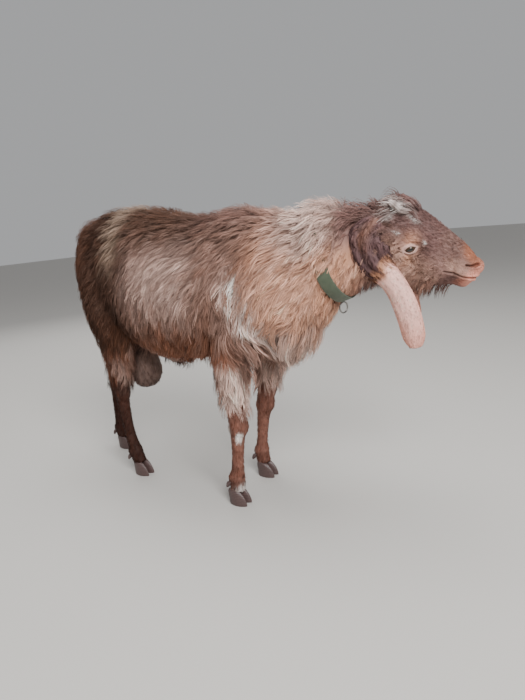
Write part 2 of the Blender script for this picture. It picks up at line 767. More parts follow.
# %% [markdown]
# ## The coat at the collar
# The band shows only in a sector round the throat. Tufts that would come out through it there are
# left out, and those beside it are drawn in under its edge, as the band presses them down. Soft
# steps at the sector's ends let the coat close over the band again.

# %% Keep the coat off the collar
SHOWN_MIDDLE = math.radians(-90)
SHOWN_SECTOR = math.radians(68)
COAT_UNDER_BAND = 0.0015


def from_throat(angle):
    """How far an angle round the collar is from the middle of the sector that shows."""
    return np.abs(np.angle(np.exp(1j * (angle - SHOWN_MIDDLE))))


def clears_collar(grown):
    """Whether each tuft stays off the part of the collar that shows."""
    angle, reach, across = in_collar(grown)
    over = (np.abs(across) < COLLAR_WIDTH / 2 + 0.002) & (reach > collar_reach(angle) - 0.001)
    return ~np.any(over & (from_throat(angle) < SHOWN_SECTOR) & (reach < 0.22), axis=1)


def squeeze_under(grown):
    """Draw the coat in under the band, where the band lies on top of it."""
    angle, reach, across = in_collar(grown)
    shown = step(from_throat(angle), SHOWN_SECTOR + 0.1, SHOWN_SECTOR - 0.1)
    band = np.exp(-(across / (COLLAR_WIDTH * 0.80)) ** 6) * (reach < 0.22)
    over = np.maximum(0.0, reach - collar_reach(angle) + COAT_UNDER_BAND) * band * shown
    return grown - collar_out(angle) * over[..., None]


print("collar shows over", round(math.degrees(2 * SHOWN_SECTOR)), "degrees")

# %% [markdown]
# ## Markings
# The goat is roan: red-brown hair mixed with white. White lies thickest on the flank and the withers,
# the loin is darker, the croup has a cream patch, and the legs are plain red-brown. The markings are
# soft patches placed by formula, with uneven edges from a few added waves. Skin and coat ask
# the same function, so a tuft always has the colour of the skin under it.

# %% Marking colours
ROAN = (0.250, 0.146, 0.114)
DARK_ROAN = (0.070, 0.034, 0.021)
RUST = (0.190, 0.076, 0.042)
DEEP = (0.042, 0.019, 0.011)
FROST = (0.680, 0.480, 0.410)
CREAM = (0.480, 0.350, 0.260)
TAN = (0.700, 0.375, 0.255)
ORANGE = (0.460, 0.215, 0.120)
APRICOT = (0.800, 0.400, 0.270)
CHESTNUT = (0.300, 0.110, 0.060)
LEG_RED = (0.190, 0.082, 0.058)
LEG_DARK = (0.036, 0.014, 0.010)
WHITE = (0.840, 0.780, 0.730)
HEAD_BROWN = (0.145, 0.078, 0.070)
UMBER = (0.160, 0.078, 0.052)
SILVER = (0.820, 0.640, 0.570)
FACE_PINK = (0.620, 0.250, 0.180)
LID_PINK = (0.620, 0.400, 0.340)
WOOL = (0.520, 0.310, 0.235)
EAR_BROWN = (0.120, 0.066, 0.066)
EAR_PALE = (0.900, 0.520, 0.440)
EAR_TIP = (0.680, 0.310, 0.240)
POUCH_GREY = (0.160, 0.105, 0.088)
WAVES = np.random.default_rng(3).normal(size=(7, 3))
WAVE_STARTS = np.random.default_rng(4).uniform(0, 2 * math.pi, 7)


def drift(points, size):
    """A smooth uneven value between about -1 and 1, whose patches are roughly of that size."""
    total = np.zeros(len(points))
    for way, start in zip(WAVES, WAVE_STARTS):
        total += np.sin(points @ way * (2.2 / size) + start)
    return total / 3.0


def wander(points, size, starts):
    """Three uneven values for each point, as a small push to any side."""
    return np.column_stack([drift(points + start, size) for start in starts])


def patch(points, centre, radii, ragged=0.22, edge=5.0):
    """How strongly a soft patch covers each point: 1 inside, 0 outside, with a ragged edge."""
    away = np.linalg.norm((points - centre) / radii, axis=1) + ragged * drift(points, 0.06)
    return 1.0 / (1.0 + np.exp((away - 1.0) * edge))


def layered(colours, layers):
    """Colours with layers laid over them, each with the share of it at every place."""
    for other, share in layers:
        share = np.clip(share, 0.0, 1.0)[:, None]
        colours = colours * (1 - share) + np.array(other) * share
    return colours


# %% [markdown]
# ## Markings by place
# A marking is a list of layers: a colour, and how strongly it covers each place. Later layers lie over
# earlier ones, as a painter would glaze them. Both flanks get the same layers, because only
# one is known. The head's layers are placed in its own frame, so they would turn with it.

# %% Markings by place
SHOULDER_STREAK = mm([(104, 650), (122, 590), (150, 530), (180, 485), (215, 462)])


def body_marks(points):
    """Frosted flanks, dark loin and rump, pale withers and shoulder, and a tan neck."""
    x, _, z = points.T
    low = z - 0.030 * drift(points, 0.06)
    to_streak = line_distance(points[:, (0, 2)], SHOULDER_STREAK)

    def side_patch(middle_x, middle_z, long, high):
        return patch(points * (1, 0, 1), (middle_x, 0, middle_z), (long, 1, high))

    return layered(np.tile(ROAN, (len(points), 1)), [
        (FROST, 0.48 * side_patch(-0.12, 0.665, 0.140, 0.095)),
        (DARK_ROAN, 0.92 * side_patch(-0.14, 0.845, 0.190, 0.090)),
        (RUST, 0.85 * step(low, 0.575, 0.49) * step(x, 0.10, 0.02)),
        (DEEP, 0.85 * step(x + 0.02 * drift(points, 0.07), -0.22, -0.33)),
        (RUST, 0.35 * step(x, -0.40, -0.52)),
        (CREAM, 0.62 * side_patch(-0.315, 0.800, 0.036, 0.080)),
        (CHESTNUT, 0.50 * step(low, 0.470, 0.435) * step(x, 0.09, 0.04)),
        (DEEP, 0.45 * step(low, 0.455, 0.425) * step(x, 0.05, 0.00)),
        (HEAD_BROWN, 0.55 * side_patch(0.070, 0.835, 0.120, 0.055)),
        (UMBER, 0.55 * side_patch(0.015, 0.610, 0.036, 0.130)),
        (TAN, 0.90 * side_patch(0.225, 0.640, 0.090, 0.105)),
        (RUST, 0.45 * side_patch(0.145, 0.690, 0.035, 0.060)),
        (FROST, 0.90 * side_patch(0.268, 0.785, 0.058, 0.072)),
        (TAN, 0.85 * side_patch(0.235, 0.550, 0.075, 0.055)),
        (UMBER, 0.15 * bump(to_streak, 0.060)),
        (SILVER, bump(to_streak, 0.026) * (0.80 + 0.9 * drift(points, 0.012))),
        (FROST, 0.92 * step(low, 0.515, 0.475) * step(x, 0.105, 0.150)),
        (HEAD_BROWN, 0.85 * step(x, 0.315, 0.360) * step(z, 0.645, 0.70)),
        (ORANGE, 0.85 * side_patch(0.358, 0.628, 0.058, 0.048)),
        (TAN, 0.85 * side_patch(0.325, 0.670, 0.036, 0.045)),
        (ORANGE, 0.85 * side_patch(0.400, 0.650, 0.050, 0.055)),
    ])


def leg_marks(points, colours):
    """Pale long hair over the knees and hocks, plain legs below, and a few white spots."""
    x, _, z = points.T
    low = z - 0.030 * drift(points, 0.05)
    front = x > -0.2
    rear = 0.45 * step(low, 0.47, 0.39) * step(x + low - z, -0.440, -0.385)
    pale = np.where(front, step(low - 0.5 * x, 0.418, 0.380), rear) * step(z, 0.28, 0.32)
    behind = front * step(x, 0.045, 0.005) * step(z, 0.30, 0.36) * step(z, 0.50, 0.44)
    lower = np.where(front, step(z, 0.325, 0.300), step(z, 0.38, 0.33))
    knee = patch(points, (0.058, -0.124, 0.214), (0.013, 0.013, 0.019), 0.20, 9.0)
    strip = patch(points, (0.018, -0.120, 0.245), (0.009, 0.020, 0.036), 0.25, 6.0)
    coronet = patch(points, (0.046, -0.110, 0.045), (0.022, 0.024, 0.020), 0.25, 6.0)
    return layered(colours, [
        (FROST, 0.88 * pale), (RUST, 0.60 * behind), (LEG_RED, lower * front),
        (LEG_DARK, 0.9 * lower * ~front), (LEG_DARK, 0.5 * lower * step(z, 0.10, 0.05)),
        (WHITE, 0.95 * knee), (WHITE, 0.50 * strip * lower), (WHITE, 0.70 * coronet),
    ])


def face_marks(at):
    """Colours of the head, for places in its own frame with both sides laid on one."""
    x, _, z = at.T
    a, b, deep = in_eye(at)
    off = np.maximum(0.0, np.abs(deep) - 0.03)
    speckle = np.clip(0.70 + 1.3 * drift(at, 0.005), 0.0, 1.0)
    return layered(np.tile(HEAD_BROWN, (len(at), 1)), [
        (ROAN, 0.40 * patch(at, (0.125, 0.02, 0.060), (0.065, 0.035, 0.035))),
        (WOOL, 0.90 * patch(at, (0.060, 0.05, -0.046), (0.088, 0.06, 0.050))),
        (WOOL, 0.60 * patch(at, (0.140, 0.04, 0.022), (0.030, 0.03, 0.018))),
        (APRICOT, 0.85 * bump(np.hypot(a - 0.010, b - 0.017) + off, 0.017)),
        (ORANGE, 0.60 * bump(np.hypot(a + 0.004, b + 0.020) + off, 0.014)),
        (LID_PINK, 0.90 * step(np.hypot(a, b * 1.35) + off, 0.0205, 0.0150)),
        (LID_PINK, 0.60 * bump(np.hypot(a - 0.024, b * 2.5) + off, 0.008)),
        (CHESTNUT, 0.90 * patch(at, (0.154, 0.000, 0.072), (0.036, 0.032, 0.026))),
        (FACE_PINK, 0.80 * step(x - 0.3 * z, 0.150, 0.176)),
        (HEAD_BROWN, 0.70 * step(z, 0.004, -0.014) * step(x, 0.120, 0.150)),
        (DEEP, 0.85 * patch(at, (-0.052, 0.056, 0.010), (0.020, 0.016, 0.008), 0.2)),
        (WHITE, 0.95 * patch(at, (-0.050, 0.036, 0.058), (0.026, 0.016, 0.013), 0.3)),
        (WHITE, 0.55 * patch(at, (-0.066, 0.042, 0.026), (0.018, 0.014, 0.013), 0.3)),
        (WHITE, 0.55 * speckle * patch(at, (-0.018, 0.056, 0.006), (0.008, 0.010, 0.004), 0.2)),
        (WHITE, 0.70 * speckle * patch(at, (-0.002, 0.040, 0.052), (0.013, 0.009, 0.005), 0.2)),
        (TAN, 0.75 * step(z + 0.2 * x, -0.062, -0.092) * step(x, 0.010, -0.030)),
        (WHITE, 0.80 * speckle * patch(at, (0.0480, 0.0540, 0.0255), (0.0048, 0.008, 0.0045))),
        (DEEP, 0.95 * bump(line_distance(at, NOSTRIL_LINE), 0.0034)),
        (DEEP, 0.80 * bump(line_distance(at, MOUTH_LINE), 0.0022)),
    ])


def markings(points):
    """Colour of hair and skin at each place of the body, in the goat's own frame."""
    tail = patch(points, (-0.59, 0, 0.73), (0.07, 0.05, 0.11), 0.1)
    pouch = patch(points, (-0.388, 0, 0.34), (0.07, 0.070, 0.085), 0.05, 9.0)
    colours = leg_marks(points, body_marks(points))
    colours = layered(colours, [(DEEP, 0.85 * tail), (POUCH_GREY, 0.9 * pouch)])
    at = in_head(points)
    share = (step(at[:, 0], -0.075, -0.045) * step(from_face(at), 0.24, 0.20))[:, None]
    colours = colours * (1 - share) + face_marks(fold_sides(at)) * share
    shade = 1.0 + 0.13 * drift(points, 0.020) + 0.13 * drift(points, 0.09)
    return np.clip(colours * shade[:, None], 0.0, 1.0)


print("markings ready, roan is", ROAN)

# %% [markdown]
# ## Node helpers
# The finishes are drawn by many small nodes, so short helpers place those that come back often: a
# sum, a noise, a change of range, a mixed colour. What the hair's materials share goes in node
# groups, made with the same helpers.

# %% Node helpers
def new_group(name, inputs, outputs):
    group = bpy.data.node_groups.new(name, "ShaderNodeTree")
    kinds = {"colour": "NodeSocketColor", "value": "NodeSocketFloat", "vector": "NodeSocketVector"}
    for title, kind, start in inputs:
        socket = group.interface.new_socket(title, in_out="INPUT", socket_type=kinds[kind])
        socket.default_value = start
    for title, kind in outputs:
        group.interface.new_socket(title, in_out="OUTPUT", socket_type=kinds[kind])
    return group, group.nodes.new("NodeGroupInput"), group.nodes.new("NodeGroupOutput")


def add_node(tree, kind, links=(), **settings):
    """A node with some settings, and links or plain values for its inputs."""
    node = tree.nodes.new(kind)
    for key, value in settings.items():
        setattr(node, key, value)
    for socket, value in links:
        if isinstance(value, bpy.types.NodeSocket):
            tree.links.new(value, node.inputs[socket])
        else:
            node.inputs[socket].default_value = value
    return node


def maths(tree, operation, a, b=0.0, c=0.0):
    return add_node(tree, "ShaderNodeMath", ((0, a), (1, b), (2, c)), operation=operation).outputs[0]


def product(tree, *values):
    """Several values multiplied with each other."""
    total = values[0]
    for value in values[1:]:
        total = maths(tree, "MULTIPLY", total, value)
    return total


def between(tree, value, low, high, start, end):
    """A value carried over from one range to another, and held at its ends."""
    node = add_node(tree, "ShaderNodeMapRange", ((0, value), (1, low), (2, high), (3, start), (4, end)))
    return node.outputs[0]


def noise(tree, place, scale, detail=2.0):
    return add_node(tree, "ShaderNodeTexNoise", (("Vector", place), ("Scale", scale),
                                                 ("Detail", detail))).outputs[0]


def attribute(tree, name, output="Vector"):
    """What the mesh itself stores at each place: a colour, a vector or a value."""
    node = add_node(tree, "ShaderNodeAttribute", attribute_type="GEOMETRY", attribute_name=name)
    return node.outputs[output]


def split_vector(tree, vector):
    return add_node(tree, "ShaderNodeSeparateXYZ", ((0, vector),)).outputs


def mix_colour(tree, share, a, b, how="MIX"):
    return add_node(tree, "ShaderNodeMix", ((0, share), (6, a), (7, b)), data_type="RGBA",
                    blend_type=how).outputs[2]


def shaded(tree, colour, shade):
    """A colour made darker or brighter by a value."""
    grey = add_node(tree, "ShaderNodeCombineColor", ((0, shade), (1, shade), (2, shade)))
    return mix_colour(tree, 1.0, colour, grey.outputs[0], "MULTIPLY")


print("node helpers ready")

# %% [markdown]
# ## Strands and short hair
# A tuft is one solid, so the single hairs on it are drawn by a stretched noise: fine across the
# tuft and long down it, darker at the root and paler at the tip. Short flat hair on bare skin
# is such a noise too. Both are groups, since the coat, the fur and the skins share them.

# %% Strand group
strands, given, result = new_group(
    "Strands",
    [("Marking", "colour", (0.3, 0.2, 0.16, 1)), ("Along", "value", 0.5), ("Across", "value", 0.0),
     ("Tuft", "value", 0.0), ("Root Shade", "value", 0.55), ("Tip Shade", "value", 1.15)],
    [("Color", "colour"), ("Height", "value")])
own_start = maths(strands, "MULTIPLY", given.outputs["Tuft"], 61.0)
sideways = maths(strands, "MULTIPLY_ADD", given.outputs["Across"], 5.0, own_start)
lengthways = maths(strands, "MULTIPLY", given.outputs["Along"], 1.3)
spot = add_node(strands, "ShaderNodeCombineXYZ", ((0, sideways), (1, lengthways)))
fine = noise(strands, spot.outputs[0], 2.2)
fading = between(strands, given.outputs["Along"], 0.0, 0.45, given.outputs["Root Shade"], 1.0)
paling = between(strands, given.outputs["Along"], 0.55, 1.0, 1.0, given.outputs["Tip Shade"])
lines = between(strands, fine, 0.30, 0.70, 0.62, 1.38)
own = between(strands, given.outputs["Tuft"], 0.0, 1.0, 0.78, 1.22)
tinted = shaded(strands, given.outputs["Marking"], product(strands, fading, paling, lines, own))
strands.links.new(tinted, result.inputs["Color"])
strands.links.new(fine, result.inputs["Height"])
print("group:", strands.name)

# %% Short hair group
short_hair, given, result = new_group(
    "Short hair",
    [("Marking", "colour", (0.3, 0.2, 0.16, 1)), ("Place", "vector", (0, 0, 0)),
     ("Stretch", "vector", (1.0, 1.0, 0.25)), ("Fineness", "value", 700.0), ("Contrast", "value", 0.35)],
    [("Color", "colour"), ("Height", "value")])
scaled = add_node(short_hair, "ShaderNodeVectorMath",
                  ((0, given.outputs["Place"]), (1, given.outputs["Stretch"])), operation="MULTIPLY")
hairs = noise(short_hair, scaled.outputs[0], given.outputs["Fineness"], 3.0)
clumps = noise(short_hair, scaled.outputs[0], maths(short_hair, "MULTIPLY", given.outputs["Fineness"], 0.12))
both = maths(short_hair, "MULTIPLY_ADD", clumps, 0.5, maths(short_hair, "MULTIPLY", hairs, 0.5))
swing = product(short_hair, maths(short_hair, "SUBTRACT", both, 0.5), given.outputs["Contrast"])
shade = maths(short_hair, "MULTIPLY_ADD", swing, 4.0, 1.0)
short_hair.links.new(shaded(short_hair, given.outputs["Marking"], shade), result.inputs["Color"])
short_hair.links.new(hairs, result.inputs["Height"])
print("group:", short_hair.name)

# %% [markdown]
# ## Materials of coat and skin
# Dry goat hair is matt, with hardly any shine, so the roughness is high and the specular low. The
# strands also raise the surface a little through a Bump node. The skin under the coat has the
# short hair's look, so that a gap between tufts doesn't show as a bare place.

# %% Hair and skin materials
def finish_surface(tree, shader, colour, height, strength, distance):
    """Give a shader its colour, and a surface raised by a height."""
    tree.links.new(colour, shader.inputs["Base Color"])
    raised = add_node(tree, "ShaderNodeBump", (("Height", height), ("Strength", strength),
                                               ("Distance", distance)))
    tree.links.new(raised.outputs[0], shader.inputs["Normal"])


def coat_material(name, root_shade, tip_shade):
    made, tree, shader = new_material(name, 0.68, Specular_IOR_Level=0.06)
    node = add_node(tree, "ShaderNodeGroup", (
        ("Marking", attribute(tree, "marking", "Color")), ("Along", attribute(tree, "along", "Fac")),
        ("Across", attribute(tree, "across", "Fac")), ("Tuft", attribute(tree, "tuft", "Fac")),
        ("Root Shade", root_shade), ("Tip Shade", tip_shade)), node_tree=strands)
    finish_surface(tree, shader, node.outputs["Color"], node.outputs["Height"], 0.35, 0.0006)
    return made


def skin_material(name, stretch, fineness, contrast, roughness, strength):
    made, tree, shader = new_material(name, roughness, Specular_IOR_Level=0.20)
    node = add_node(tree, "ShaderNodeGroup", (
        ("Marking", attribute(tree, "marking", "Color")), ("Place", attribute(tree, "place")),
        ("Stretch", stretch), ("Fineness", fineness), ("Contrast", contrast)), node_tree=short_hair)
    finish_surface(tree, shader, node.outputs["Color"], node.outputs["Height"], strength, 0.0008)
    return made


COAT = coat_material("goat coat", 0.66, 1.18)
FUR = coat_material("short fur", 0.75, 1.10)
SKIN = skin_material("short haired skin", (1.0, 1.0, 0.22), 620.0, 0.30, 0.62, 0.5)
print("materials:", COAT.name, FUR.name, SKIN.name)

# %% [markdown]
# ## Finishing a piece
# Every piece is drawn in the goat's own frame, so one helper does the last steps for all of them. It
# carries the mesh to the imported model's place, gives it its material, lets it ride on the model
# and tells which solids it stands for.

# %% Finish a piece
def add_attribute(mesh, name, kind, values):
    made = mesh.attributes.new(name, kind, "POINT")
    key = {"FLOAT": "value", "FLOAT_VECTOR": "vector", "FLOAT_COLOR": "color"}[kind]
    made.data.foreach_set(key, np.asarray(values, dtype=np.float32).ravel())


def add_marks(mesh, colours, places):
    add_attribute(mesh, "marking", "FLOAT_COLOR", np.column_stack([colours, np.ones(len(colours))]))
    add_attribute(mesh, "place", "FLOAT_VECTOR", places)


def finish_piece(thing, material, nodes):
    thing.data.materials.clear()
    thing.data.materials.append(material)
    thing.data.transform(Matrix.Translation(GOAT_SHIFT))
    thing.data.shade_smooth()
    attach(thing, "root")
    if nodes:
        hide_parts(*nodes)
    print(thing.name, len(thing.data.polygons), "faces")
    return thing


FLESH_NODES = ("torso", "neck", "head", "tail", "leg_front_left", "leg_front_right", "leg_rear_left",
               "leg_rear_right", "scrotum")
skin_points, skin_faces = get_points(skin.data), [tuple(f.vertices) for f in skin.data.polygons]
bare = new_object("goat_skin", *joined([(skin_points, skin_faces), lids]))
bpy.data.objects.remove(skin, do_unlink=True)
skin = bare
SKIN_POINTS = get_points(skin.data)
add_marks(skin.data, markings(SKIN_POINTS), SKIN_POINTS)
SKIN_TREE = BVHTree.FromObject(skin, bpy.context.evaluated_depsgraph_get())

# %% [markdown]
# ## How the coat lies
# Hair lies back along the spine, slants back down the sides, and runs straight down the legs and
# throat. On the head it fans out from the nose. Each kind of coat has its own length,
# width, lift and curl: long and wavy on the shoulder, a few millimetres on the face.

# %% Kinds of coat
Kind = namedtuple("Kind", "dense length width lift hang curl clump rings")
KINDS = {
    "back": Kind(53000, 0.046, 0.0019, 0.018, 0.00, 0.12, 7, 3),
    "flank": Kind(54000, 0.048, 0.0018, 0.010, 0.06, 0.14, 7, 3),
    "rump": Kind(50000, 0.046, 0.0019, 0.010, 0.05, 0.14, 7, 3),
    "shoulder": Kind(49000, 0.062, 0.0020, 0.014, 0.12, 0.32, 12, 4),
    "fringe": Kind(48000, 0.078, 0.0022, 0.018, 0.45, 0.50, 12, 4),
    "belly": Kind(36000, 0.038, 0.0022, 0.010, 0.30, 0.15, 8, 3),
    "crest": Kind(58000, 0.044, 0.0019, 0.022, 0.00, 0.18, 7, 3),
    "neck": Kind(55000, 0.042, 0.0019, 0.014, 0.08, 0.20, 7, 3),
    "throat": Kind(56000, 0.036, 0.0019, 0.010, 0.15, 0.20, 8, 3),
    "thigh": Kind(48000, 0.048, 0.0019, 0.011, 0.08, 0.18, 8, 3),
    "feather": Kind(54000, 0.046, 0.0021, 0.014, 0.32, 0.42, 10, 4),
    "shank": Kind(80000, 0.012, 0.0017, 0.0020, 0.00, 0.05, 5, 2),
    "tail": Kind(60000, 0.080, 0.0030, 0.012, 0.20, 0.18, 10, 4),
    "nape": Kind(0, 0.024, 0.0020, 0.0040, 0.05, 0.18, 7, 3),
    "pouch": Kind(50000, 0.014, 0.0018, 0.0030, 0.10, 0.10, 5, 2),
    "poll": Kind(110000, 0.029, 0.0019, 0.009, 0.00, 0.25, 7, 3),
    "brow": Kind(165000, 0.0095, 0.0011, 0.0019, 0.00, 0.25, 5, 2),
    "cheek": Kind(120000, 0.021, 0.0014, 0.0100, 0.05, 1.10, 16, 3),
    "jaw": Kind(110000, 0.034, 0.0015, 0.0060, 0.75, 0.80, 14, 3),
    "chin": Kind(90000, 0.044, 0.0013, 0.0040, 0.85, 0.50, 12, 3),
    "nose": Kind(230000, 0.007, 0.0009, 0.0010, 0.00, 0.05, 3, 2),
    "flap": Kind(90000, 0.026, 0.0015, 0.0050, 0.00, 0.12, 8, 2),
    "blade": Kind(120000, 0.006, 0.0010, 0.0008, 0.00, 0.06, 3, 2),
}
KIND_NAMES = list(KINDS)
print("kinds of coat:", len(KIND_NAMES))


# %% The lie of the coat
def lie_of_coat(points, normals):
    """The way the hair lies at each place, along the skin."""
    x, y, z = points.T
    side = np.where(np.abs(y) > 0.01, np.sign(y), 0.0)
    flat = np.maximum(0.0, normals[:, 2])
    ways = np.column_stack([-0.38 - 1.3 * flat, 0.75 * side * flat, -np.ones(len(points))])
    neck = step(x, 0.12, 0.22)[:, None]
    ways = ways * (1 - neck) + neck * np.column_stack([np.full(len(points), -0.8), 0.35 * side * flat,
                                                       np.full(len(points), -0.7)])
    apron = (step(x, 0.02, 0.09) * step(x, 0.21, 0.15) * step(z, 0.54, 0.47) * step(z, 0.36, 0.42))[:, None]
    ways = ways * (1 - apron) + apron * np.array((0.8, 0.0, -0.8))
    front = step(x, 0.20, 0.26)[:, None] * (z < 0.56)[:, None]
    ways = np.where(front > 0.5, (-0.35, 0.0, -1.0), ways)
    leg = (z < 0.40)[:, None]
    ways = np.where(leg, (-0.05, 0.0, -1.0), ways)
    tail = patch(points, (-0.57, 0, 0.73), (0.07, 0.045, 0.14), 0.0)[:, None] > 0.5
    ways = np.where(tail, (-0.1, 0.0, -1.0), ways)
    at = in_head(points)
    head = (step(at[:, 0], -0.06, -0.03) * step(from_face(at), 0.23, 0.19))[:, None]
    back = np.column_stack([np.full(len(points), -1.0), 0.25 * np.sign(at[:, 1]),
                            np.where(at[:, 2] < -0.02, -0.5, -0.1)]) @ HEAD_AXES.T
    ways = ways * (1 - head) + back * head
    ways += 0.22 * wander(points, 0.07, (3, 5, 7))
    ways -= normals * np.sum(ways * normals, axis=1)[:, None]
    return ways / np.maximum(np.linalg.norm(ways, axis=1), 1e-6)[:, None]


# %% Where each kind grows
def kind_at(points, normals):
    """The kind of coat that grows at each place, as its number in the list, or -1 for none."""
    x, y, z = (points + 0.018 * wander(points, 0.05, (11, 13, 17))).T
    up = normals[:, 2]
    names = np.full(len(points), "flank", dtype=object)
    names[x < -0.42] = "rump"
    names[(x > -0.03) & (z < 0.70)] = "shoulder"
    names[(x > -0.02) & (z < 0.53)] = "fringe"
    names[(up > 0.62)] = "back"
    names[(up < -0.60) & (x < 0.04)] = "belly"
    names[x > 0.21] = "neck"
    names[(x > 0.21) & (up > 0.55)] = "crest"
    names[(x > 0.30) & (z < 0.665)] = "throat"
    legs = (z < 0.50) & (np.abs(y) > 0.05) & ((x > -0.05) & (x < 0.12) | (x < -0.34))
    names[legs] = "thigh"
    names[legs & (z < 0.42)] = "feather"
    names[(x > 0.08) & (x < 0.30) & (z < 0.52)] = "fringe"
    ends = np.where(points[:, 0] > -0.2, 0.312, 0.325) + 0.008 * drift(points, 0.02)
    names[points[:, 2] < ends] = "shank"
    pouch = patch(points, (-0.388, 0, 0.34), (0.065, 0.062, 0.085), 0.0)
    names[pouch > 0.5] = "pouch"
    tail = patch(points, (-0.58, 0, 0.73), (0.06, 0.040, 0.12), 0.0)
    names[tail > 0.5] = "tail"
    at = in_head(points)
    ahead = (at[:, 0] > -0.055) & (from_face(at) < 0.21)
    names[ahead] = "brow"
    names[ahead & (at[:, 2] < 0.0) & (at[:, 0] < 0.13)] = "cheek"
    names[ahead & (at[:, 2] < -0.052 + 0.25 * np.maximum(0.0, at[:, 0] - 0.03))] = "jaw"
    names[ahead & (at[:, 0] < -0.002) & (at[:, 2] > 0.055)] = "poll"
    names[ahead & (at[:, 0] > 0.128)] = "nose"
    names[ahead & (at[:, 0] > 0.118) & (at[:, 0] < 0.172) & (at[:, 2] < -0.012)] = "chin"
    a, b, _ = in_eye(fold_sides(at))
    lips = np.minimum(line_distance(fold_sides(at), MOUTH_LINE), line_distance(fold_sides(at), NOSTRIL_LINE))
    names[ahead & (at[:, 0] - 0.25 * at[:, 2] > 0.178) | ahead & (lips < 0.0042)] = ""
    names[ahead & (np.hypot(a, b * 1.35) < 0.0180) & near_eye(at, 0.03)] = ""
    return np.array([KIND_NAMES.index(name) if name else -1 for name in names])

# %% [markdown]
# ## Roots
# Hair grows more densely on the face than on the belly. Roots are dropped on the skin's triangles at
# random, in proportion to their area and to the density of the kind that grows there. A fixed
# seed gives the same coat at every run.

# %% Scatter the roots
def scatter(mesh, dense_at, rng):
    """Roots spread over a mesh, as many to the square metre as each place asks for."""
    mesh.calc_loop_triangles()
    corners = np.empty(len(mesh.loop_triangles) * 3, dtype=int)
    mesh.loop_triangles.foreach_get("vertices", corners)
    corners = corners.reshape(-1, 3)
    points, normals = get_points(mesh), get_normals(mesh)
    a, b, c = (points[corners[:, i]] for i in range(3))
    areas = np.linalg.norm(np.cross(b - a, c - a), axis=1) / 2
    kinds = dense_at((a + b + c) / 3, normals[corners].mean(axis=1))
    dense = np.array([KINDS[name].dense for name in KIND_NAMES] + [0.0])[kinds]
    expected = areas * dense
    total = int(expected.sum())
    chosen = np.searchsorted(np.cumsum(expected) / expected.sum(), rng.random(total))
    u, v = rng.random(total), rng.random(total)
    over = u + v > 1
    u[over], v[over] = 1 - u[over], 1 - v[over]
    weights = np.column_stack([1 - u - v, u, v])
    roots = np.einsum("ij,ijk->ik", weights, points[corners[chosen]])
    ways = np.einsum("ij,ijk->ik", weights, normals[corners[chosen]])
    return roots, ways / np.linalg.norm(ways, axis=1)[:, None], kinds[chosen]


roots, root_normals, root_kinds = scatter(skin.data, kind_at, np.random.default_rng(1))
print("roots:", len(roots))

# %% [markdown]
# ## Growing the tufts
# Each tuft is a thin solid of three sides that rises from the skin, bends along the lie and tapers
# to a point. After every step it is laid over the skin again, so long hair wraps the body and
# never stands off in straight spikes. Hair that hangs is let go instead. Neighbours share a clump,
# which gives them nearly the same length, lift and curl, as in real locks.

# %% Shape of a tuft
TUFT_RISE = (0.00, 0.42, 0.74, 0.95, 1.00, 0.95)
ROOT_DEPTH = 0.003
CLUMP_PULL = 0.45
CLUMP_LIFT = (0.45, 1.25)
PATCH_SIZE = 0.003


def on_skin(points, tree):
    """The nearest place on a surface and its normal, for each point."""
    places = np.empty_like(points)
    slopes = np.empty_like(points)
    for i, point in enumerate(points.tolist()):
        place, slope, _, _ = tree.find_nearest(point)
        places[i] = place
        slopes[i] = slope
    return places, slopes


def unit(ways):
    return ways / np.maximum(np.linalg.norm(ways, axis=1), 1e-9)[:, None]


def tuft_widths(rings):
    """Widths of a tuft's rings, as shares: a narrow root, a full middle and a fine end."""
    t = np.arange(rings) / rings
    return 0.55 + 0.9 * t - 1.25 * t ** 2


print("widths of a tuft of 3 rings:", [round(float(w), 2) for w in tuft_widths(3)])


# %% Clumps
def find_clumps(roots, size, rng):
    """The leader of each root's clump, and the clump's number."""
    leaders = roots[rng.permutation(len(roots))[:max(1, len(roots) // size)]]
    tree = KDTree(len(leaders))
    for i, place in enumerate(leaders.tolist()):
        tree.insert(place, i)
    tree.balance()
    numbers = np.array([tree.find(place)[1] for place in roots.tolist()], dtype=int)
    return leaders[numbers], numbers


def alike(rng, clumps, low, high, own):
    """A random value for each clump, and a little of its own for each tuft in it."""
    shared = rng.uniform(low, high, clumps.max() + 1)[clumps]
    return shared * rng.uniform(1 - own, 1 + own, len(clumps))


